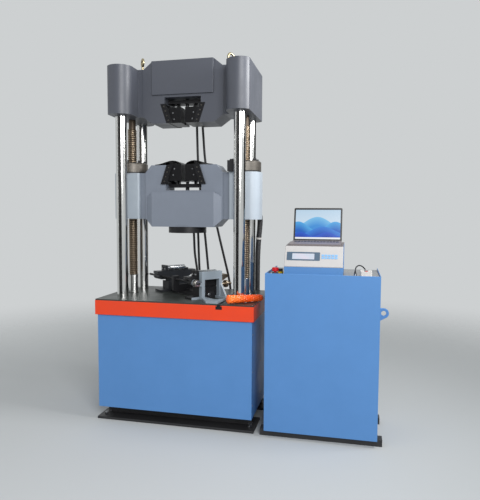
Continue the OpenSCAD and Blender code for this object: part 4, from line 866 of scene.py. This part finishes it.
# %% [markdown]
# ## Lead screws
# A lead screw's thread is the one thing everybody looks for on this machine, and a plain rod would give it
# away. The thread is trapezoidal: a flat crest, a flat root and steep flanks. We take the solid's own mesh,
# drop its plain wall, and put a grid in its place whose radius follows the thread round the rod.

# %% Threaded lead screws
PITCH = 0.012
SCREW_RADIUS = 0.030
ROOT_RADIUS = 0.0252
SCREW_X = 0.3725
THREAD_SIDES = 36
THREAD_ROWS_PER_TURN = 8
THREAD_START = 0.865
ROOT_DARK = 0.0012


def thread_radius(phase):
    """Half the turn is crest and root, the rest is flank."""
    phase = phase % 1.0
    if phase < 0.30:
        share = 1.0
    elif phase < 0.48:
        share = 1.0 - (phase - 0.30) / 0.18
    elif phase < 0.82:
        share = 0.0
    else:
        share = (phase - 0.82) / 0.18
    return ROOT_RADIUS + (SCREW_RADIUS - ROOT_RADIUS) * share


def threaded_wall(x, low, high):
    turns = int((high - THREAD_START) / PITCH * THREAD_ROWS_PER_TURN)
    levels = [low, THREAD_START]
    levels += [THREAD_START + (high - THREAD_START) * i / turns for i in range(1, turns + 1)]
    verts = []
    for i, z in enumerate(levels):
        for k, (c, s) in enumerate(circle(THREAD_SIDES)):
            radius = SCREW_RADIUS if i < 2 else thread_radius(z / PITCH - k / THREAD_SIDES)
            verts.append(Vector((x + radius * c, radius * s, z)))
    return verts, ring_faces(len(levels), THREAD_SIDES, capped=False)


def solid_without_thread(name, x):
    """The solid's own faces, less the wall and the ends of its threaded stretch."""
    mesh = nodes[name].data
    verts = [v.co.copy() for v in mesh.vertices]
    rim = [math.hypot(v.x - x, v.y) > SCREW_RADIUS - 1e-4 and v.z > 0.2 for v in verts]
    faces = [tuple(p.vertices) for p in mesh.polygons if not any(rim[i] for i in p.vertices)]
    return verts, faces, [v.z for v, on_rim in zip(verts, rim) if on_rim]


# The faces at the bottom of the thread get a darker brown: painted shade in the thread's grooves.
thread_root = metal("thread root painted shade", "#54483C", "#463C32", 0.5, 900.0, 0.1, 0.6)
cover(finishes["warm_steel"], [(Z_AXIS, 0.0, THREAD_START + 0.002)], "#C9C9C7", 0.22, 1.0)
for side, name in ((-1, "lead_screw_left"), (1, "lead_screw_right")):
    x = side * SCREW_X
    verts, faces, heights = solid_without_thread(name, x)
    wall = threaded_wall(x, min(heights), max(heights))
    screw = make_piece(name + "_thread", *joined([(verts, faces), wall]), name, "warm_steel")
    screw.data.materials.append(finishes["warm_steel"])
    screw.data.materials.append(thread_root)
    for face in screw.data.polygons:
        middle = sum((screw.data.vertices[i].co for i in face.vertices), Vector()) / len(face.vertices)
        if middle.z > THREAD_START and math.hypot(middle.x - x, middle.y) < ROOT_RADIUS + ROOT_DARK:
            face.material_index = 1
    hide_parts(name)
    print(name, "thread from", round(min(heights), 3), "to", round(max(heights), 3))

# %% [markdown]
# ## Rubber for the cords
# The cords were made first, before any finish existed, so they get theirs now, along with the crimped steel
# ferrules that hold a hydraulic hose to its port.

# %% Cord finishes and hose ferrules
for name in [hose + "_rubber" for hose in HOSES] + ["conduit_corrugated", "pendant_cable_lead"]:
    bpy.data.objects[name].data.materials.append(finishes["black_rubber"])


def both_ends(path, body):
    """Each end's name, place, direction inwards and body."""
    return ("top", path[0], path[1] - path[0], body), ("foot", path[-1], path[-2] - path[-1], "base_frame")


FERRULE = [(0.0082, 0.0), (0.0112, 0.0), (0.0112, 0.008), (0.0098, 0.010), (0.0098, 0.012), (0.0112, 0.014),
           (0.0112, 0.022), (0.0100, 0.026), (0.0100, 0.036), (0.0084, 0.038)]
for name in HOSES:
    path = route_of(name)
    for end, point, inwards, body in both_ends(path, CORD_ENDS[name][0]):
        ferrule = place(turned(FERRULE, 24), aimed(point, inwards))
        dressed(f"{name}_{end}_ferrule", ferrule, body, "bare_steel")
print("ferrules: 8")

# %% [markdown]
# ## Screws, nuts and glands
# Sheet metal is held by small pan-head screws, and the grips by socket screws. They are all the same turned
# form at a few scales, and each group is one mesh that rides with the body that it holds together.

# %% Screw heads
PAN_HEAD = [(0.0060, 0.0), (0.0060, 0.0012), (0.0048, 0.0026), (0.0020, 0.0031), (0.0016, 0.0024)]
SKIRT_X = 0.478
SKIRT_Y = [-0.262, -0.020, 0.262]
SKIRT_Z = [0.157, 0.354, 0.572]


def screw_heads(spots, direction, scale=1.0):
    profile = [(radius * scale, height * scale) for radius, height in PAN_HEAD]
    return joined([place(turned(profile, 16), aimed(spot, direction)) for spot in spots])


sides = []
for side in (-1, 1):
    spots = [(side * SKIRT_X, y, z) for y in SKIRT_Y for z in SKIRT_Z]
    sides.append(screw_heads(spots, (side, 0, 0)))
dressed("skirt_screws", joined(sides), "base_frame", "bare_steel")

panel_low, panel_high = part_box("cabinet_rear_panel")
INSET = 0.016
spots = []
for x in (panel_low[0] + INSET, (panel_low[0] + panel_high[0]) / 2, panel_high[0] - INSET):
    for z in (panel_low[2] + INSET, panel_high[2] - INSET):
        spots.append((x, panel_high[1], z))
dressed("rear_panel_screws", screw_heads(spots, (0, 1, 0)), "base_frame", "bare_steel")

# %% Louvres in the cabinet's rear panel
LOUVRE = [(0.0, -0.007), (0.0050, -0.006), (0.0050, -0.004), (0.0015, 0.007), (0.0, 0.007)]
LOUVRE_HALF = 0.060
LOUVRE_ROWS = 8
LOUVRE_PITCH = 0.024
LOUVRE_START = 0.62
LOUVRE_COLUMN = 0.13
ACROSS_X = Matrix(((0, 0, 1, 0), (1, 0, 0, 0), (0, 1, 0, 0), (0, 0, 0, 1)))
middle_x = (panel_low[0] + panel_high[0]) / 2
louvres = []
for column in (-1, 1):
    for row in range(LOUVRE_ROWS):
        spot = (middle_x + column * LOUVRE_COLUMN, panel_high[1], LOUVRE_START + row * LOUVRE_PITCH)
        louvres.append(place(plate(LOUVRE, -LOUVRE_HALF, LOUVRE_HALF), Matrix.Translation(spot) @ ACROSS_X))
dressed("rear_louvres", joined(louvres), "base_frame", "cabinet_blue", 0.0006)
print("louvres:", len(louvres))

# %% Jaw screws
JAW_FACE_Y = 0.082
UPPER_MOUTH = 1.816
LOWER_MOUTH = 1.563
JAW_SPOTS = [(0.058, 0.025), (0.066, 0.062)]
for name, mouth, up in (("upper_jaw", UPPER_MOUTH, 1), ("lower_jaw", LOWER_MOUTH, -1)):
    for side, word in ((-1, "left"), (1, "right")):
        rows = []
        for face in (-1, 1):
            spots = [(side * x, face * JAW_FACE_Y, mouth + up * v) for x, v in JAW_SPOTS]
            rows.append(screw_heads(spots, (0, face, 0), 0.8))
        dressed(f"{name}_{word}_screws", joined(rows), f"{name}_{word}", "bare_steel")

# %% Bend fixture fasteners
def bend_point(s, w, z):
    return BEND_CENTRE + Vector(BEND_S) * s + Vector(BEND_W) * w + Vector((0, 0, z))


def ring_form(outer, inner, length, sides=32):
    rims = [[(radius * c, radius * s) for c, s in circle(sides)] for radius in (outer, inner)]
    return framed(*rims, 0.0, length)


SEAT_S = 0.190
BOLT_HEAD = [(0.0088, 0.0), (0.0088, 0.0020), (0.0078, 0.0026)]
for name, s in (("bend_seat_rear", -SEAT_S), ("bend_seat_front", SEAT_S)):
    spots = [bend_point(s + step, -0.0863, 0.895) for step in (-0.018, 0.018)]
    form = screw_heads(spots, -Vector(BEND_W), 1.1)
    dressed(name + "_plate_screws", form, name, "bare_steel")
collar = place(ring_form(0.0150, 0.0074, 0.008), aimed(bend_point(0.2563, -0.106, 0.849), BEND_S))
dressed("bend_screw_collar", collar, "bend_seat_front", "warm_steel", 0.0008)
head = place(turned(BOLT_HEAD, 6), aimed(bend_point(0.2321, -0.005, 0.772), BEND_S))
dressed("rail_bolt_head", head, "load_frame", "bare_steel", 0.0005)
print("bend fixture fasteners: 4")

# %% Conduit glands and tie
TIE_POINT = 6
GLAND = [(0.0192, 0.0), (0.0255, 0.0), (0.0255, 0.012), (0.0235, 0.014)]
SLEEVE = [(0.0186, 0.0), (0.0224, 0.0), (0.0224, 0.006), (0.0192, 0.014)]
path = route_of("conduit")
for end, point, inwards, body in both_ends(path, "middle_crosshead"):
    turn = aimed(point, inwards)
    nut = place(turned(GLAND, 6), turn)
    sleeve = place(turned(SLEEVE, 32), turn @ Matrix.Translation((0, 0, 0.0141)))
    dressed(f"conduit_{end}_gland", joined([nut, sleeve]), body, "black_plastic", 0.0006)
tie_at = TIE_POINT * ROUTE_STEPS
tie = place(ring_form(0.0205, 0.0182, 0.012), aimed(path[tie_at], path[tie_at + 1] - path[tie_at - 1]))
tie_piece = dressed("conduit_tie", tie, None, "white_plastic", 0.0005)
carrier, low, high = CORD_ENDS["conduit"]
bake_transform(tie_piece)
print("glands: 2, tie at", [round(v, 3) for v in path[tie_at]])

# %% Sleeves on the pendant's cable
BEND_RELIEF = [(0.0064, 0.0), (0.0064, 0.002), (0.0056, 0.003), (0.0056, 0.006), (0.0050, 0.007),
               (0.0050, 0.010), (0.0042, 0.014)]
path = route_of("pendant_cable")
for name, point, ahead in (("cabinet", path[0], path[2]), ("case", path[-1], path[-3])):
    form = place(turned(BEND_RELIEF, 20), aimed(point, ahead - point))
    dressed(f"pendant_cable_{name}_sleeve", form, "base_frame", "black_rubber")

# %% [markdown]
# ## Laptop, controller and pendant
# The laptop stands on the controller's sloping top. Its two halves have their own frames, so the screen and
# the keys are laid out flat, in millimetres from the hinge, and then turned into place. Raised parts stay
# below a quarter of a millimetre, because the lid has to close over them.

# %% Laptop screen and keyboard
screen = place(plate(rounded(0.268, 0.180, 0.002, 3), 0.0, 0.0001), Matrix.Rotation(math.radians(90), 4, "X"))
screen = place(screen, LID @ Matrix.Translation((0, 0.0038, 0.103)))
dressed("laptop_screen", screen, "laptop_lid", "screen_glass", 0.0, "laptop_picture")

KEY_ROWS = 5
KEY_COLUMNS = 14
KEY_PITCH = 0.0185
KEY_DEPTH = 0.0160
KEY_RISE = 0.0001
DECK = 0.0110
FIRST_ROW = 0.112
KEY_HALF = 0.0078
KEY_HALF_DEEP = 0.0066
SPACE_BAR = (-0.0546, 0.0361)


def key(left, right, y):
    return block((left, y - KEY_HALF_DEEP, DECK), (right, y + KEY_HALF_DEEP, DECK + KEY_RISE))


keys = []
for row in range(KEY_ROWS):
    y = FIRST_ROW + row * KEY_DEPTH
    for column in range(KEY_COLUMNS):
        x = (column - (KEY_COLUMNS - 1) / 2) * KEY_PITCH
        if row == 0 and 4 <= column <= 8:
            continue
        keys.append(key(x - KEY_HALF, x + KEY_HALF, y))
keys.append(key(*SPACE_BAR, FIRST_ROW))
dressed("laptop_keys", place(joined(keys), LAPTOP), "base_frame", "black_plastic")
touchpad = plate(rounded(0.104, 0.066, 0.004), DECK, DECK + KEY_RISE)
touchpad = place(touchpad, LAPTOP @ Matrix.Translation((0, 0.054, 0)))
dressed("laptop_touchpad", touchpad, "base_frame", "laptop_plastic")
print("keys:", len(keys))

# %% Controller's display frame
FASCIA = Matrix.Translation(fascia_origin) @ Matrix.Rotation(math.radians(65.29), 4, "X")
frame_form = framed(rounded(0.184, 0.050, 0.004), rounded(0.1224, 0.0344, 0.0015), 0.0, 0.0008)
frame_form = place(frame_form, FASCIA @ Matrix.Translation((-0.057, 0.0622, 0.003)))
dressed("display_frame", frame_form, "base_frame", "black_plastic", 0.0003, "slate_plastic")

# %% Marks on the pendant
PENDANT = Matrix.Translation((1.1015, -0.196, 0.952))
ARROW = [(-0.0045, -0.004), (0.0045, -0.004), (0.0, 0.005)]
ring = framed(rounded(0.023, 0.051, 0.003), rounded(0.0176, 0.0456, 0.001), 0.0, 0.0004)
marks = [place(ring, PENDANT)]
for y, spin in ((0.014, 0.0), (-0.014, math.pi)):
    turn = Matrix.Translation((0.0215, y, 0)) @ Matrix.Rotation(spin, 4, "Z")
    marks.append(place(plate(ARROW, 0.0, 0.0003), PENDANT @ turn))
dressed("pendant_marks", joined(marks), "base_frame", "black_plastic")
print("pendant marks:", len(marks))

# %% [markdown]
# ## Wrapped mandrel
# The bend mandrel lies on the table in orange bubble wrap. Its surface is a ring grid round the same axis
# as the solid. Each point moves in and out with a hexagonal row of bubbles and a slower crumple, and the
# film is glossy, so every bubble gets its own small light.

# %% Wrapped mandrel
MANDREL_START = Vector((0.331, -0.281, 0.7735))
MANDREL_TURN = math.radians(41)
MANDREL_LENGTH = 0.232
MANDREL_RADII = (0.026, 0.020)
MANDREL_ROUND = 0.008
BUBBLE = 0.016
BUBBLES_ROUND = 9
DOME_HEIGHT = 0.0034
WRAP_SINK = 0.0030
CRUMPLE_HEIGHT = 0.0014
CRUMPLES_ROUND = 1.6
CRUMPLES_ALONG = 60
WRAP_ROWS = 120
WRAP_SIDES = 72
mandrel_tilt = math.asin((MANDREL_RADII[0] - MANDREL_RADII[1]) / MANDREL_LENGTH)
mandrel_turn = (Matrix.Translation(MANDREL_START) @ Matrix.Rotation(MANDREL_TURN, 4, "Z")
                @ Matrix.Rotation(math.pi / 2 + mandrel_tilt, 4, "Y"))


def bubble_height(row_at, round_at):
    """A dome for each bubble, in rows that are shifted by half a bubble."""
    row = math.floor(row_at)
    across = round_at + 0.5 * (row % 2)
    a = row_at - row - 0.5
    b = across - math.floor(across) - 0.5
    return max(0.0, 1.0 - (a * a + b * b) * 5.0)


verts = []
for i in range(WRAP_ROWS + 1):
    t = i / WRAP_ROWS
    height = MANDREL_LENGTH * t
    near_end = min(height, MANDREL_LENGTH - height)
    body = MANDREL_RADII[0] + (MANDREL_RADII[1] - MANDREL_RADII[0]) * t
    short = max(0.0, MANDREL_ROUND - near_end)
    body -= MANDREL_ROUND - math.sqrt(max(0.0, MANDREL_ROUND ** 2 - short ** 2))
    for k, (c, s) in enumerate(circle(WRAP_SIDES)):
        dome = bubble_height(height / BUBBLE, BUBBLES_ROUND * k / WRAP_SIDES)
        crumple = noise.noise(Vector((c * CRUMPLES_ROUND, s * CRUMPLES_ROUND, height * CRUMPLES_ALONG)))
        radius = body - WRAP_SINK + DOME_HEIGHT * dome + CRUMPLE_HEIGHT * crumple
        verts.append(Vector((radius * c, radius * s, height)))
faces = ring_faces(WRAP_ROWS + 1, WRAP_SIDES)
form = place((verts, faces), mandrel_turn)
wrap = make_piece("mandrel_wrap", *form, "load_frame", "wrap_orange", 0.0, False)
wrap.data.polygons.foreach_set("use_smooth", [True] * len(wrap.data.polygons))
wrap.data.materials.append(finishes["wrap_orange"])
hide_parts("wrapped_mandrel")
print("wrap points:", len(verts))

# %% [markdown]
# ## Light and floor
# The floor and the background are plain and pale, and the light is soft. The camera sees an even pale grey
# behind the machine, while the world lights everything else with less than that, so colours keep their
# depth. A large area lamp from the right gives the crossheads a lit side and a shaded side. Chrome has no
# colour of its own, so two black cards that only mirrors can see put the dark bands into the columns.

# %% World
BACKDROP = "#CDD0D1"
LEVEL_FOR_LIGHT = 0.85
LEVEL_SEEN = 1.0
world = bpy.data.worlds.new("studio")
world.use_nodes = True
scene.world = world
tree = world.node_tree
background = tree.nodes["Background"]
light_path = tree.nodes.new("ShaderNodeLightPath")
rays = light_path.outputs
seen = math_node(tree, "MAXIMUM", rays["Is Camera Ray"], rays["Is Transmission Ray"])
seen = math_node(tree, "MAXIMUM", seen, rays["Is Glossy Ray"])
background.inputs["Color"].default_value = linear(BACKDROP)
tree.links.new(map_range(tree, seen, (0.0, 1.0), LEVEL_FOR_LIGHT, LEVEL_SEEN), background.inputs["Strength"])
scene.view_settings.view_transform = "Standard"


# %% Lamps
def area_lamp(name, place_at, target, size, power):
    lamp = bpy.data.lights.new(name, "AREA")
    lamp.size = size
    lamp.energy = power
    holder = bpy.data.objects.new(name, lamp)
    holder.location = place_at
    holder.rotation_euler = (Vector(target) - Vector(place_at)).to_track_quat("-Z", "Y").to_euler()
    scene.collection.objects.link(holder)


area_lamp("key lamp", (2.3, -4.2, 3.0), (0.1, 0, 1.1), 2.2, 185)
area_lamp("fill lamp", (-3.0, -3.6, 2.4), (0.3, 0, 1.1), 3.0, 38)
area_lamp("side lamp", (1.9, -0.3, 2.45), (0.45, 0, 2.1), 0.8, 46)
print("lamps:", 3)

# %% Black cards for the chrome
CARD_FOOT = -0.2
CARD_HEAD = 3.8
CARDS = {
    "left card": ((0.46, -3.97), (-3.30, -2.27)),
    "right card": ((3.20, 0.20), (1.80, 2.80)),
}
card_black = new_material("card black", "#050506", 0.9)[0]
for name, (start_at, end_at) in CARDS.items():
    mesh = bpy.data.meshes.new(name)
    low = [(*start_at, CARD_FOOT), (*end_at, CARD_FOOT)]
    high = [(*end_at, CARD_HEAD), (*start_at, CARD_HEAD)]
    mesh.from_pydata(low + high, [], [(0, 1, 2, 3)])
    mesh.materials.append(card_black)
    card = bpy.data.objects.new(name.replace(" ", "_"), mesh)
    scene.collection.objects.link(card)
    card.visible_camera = False
    card.visible_diffuse = False
    card.visible_shadow = False
    card.visible_transmission = False
print("cards:", len(CARDS))

# %% Floor
FLOOR = 6.0
FLOOR_CENTRE = (0.35, 0.0, 0.0)
FADE_FROM_TO = (1.6, 5.0)
floor_mesh = bpy.data.meshes.new("floor")
corners = [(-FLOOR, -FLOOR, 0), (FLOOR, -FLOOR, 0), (FLOOR, FLOOR, 0), (-FLOOR, FLOOR, 0)]
floor_mesh.from_pydata(corners, [], [(0, 1, 2, 3)])
floor = bpy.data.objects.new("floor", floor_mesh)
scene.collection.objects.link(floor)
material, tree, shader, where = new_material("pale floor", "#B4B7B8", 0.9)
apart = vector_math(tree, "DISTANCE", where, FLOOR_CENTRE)
fade = map_range(tree, apart, FADE_FROM_TO, 1.0, 0.0, "SMOOTHSTEP")
tree.links.new(fade, shader.inputs["Alpha"])
floor_mesh.materials.append(material)
print("floor:", 2 * FLOOR, "m")
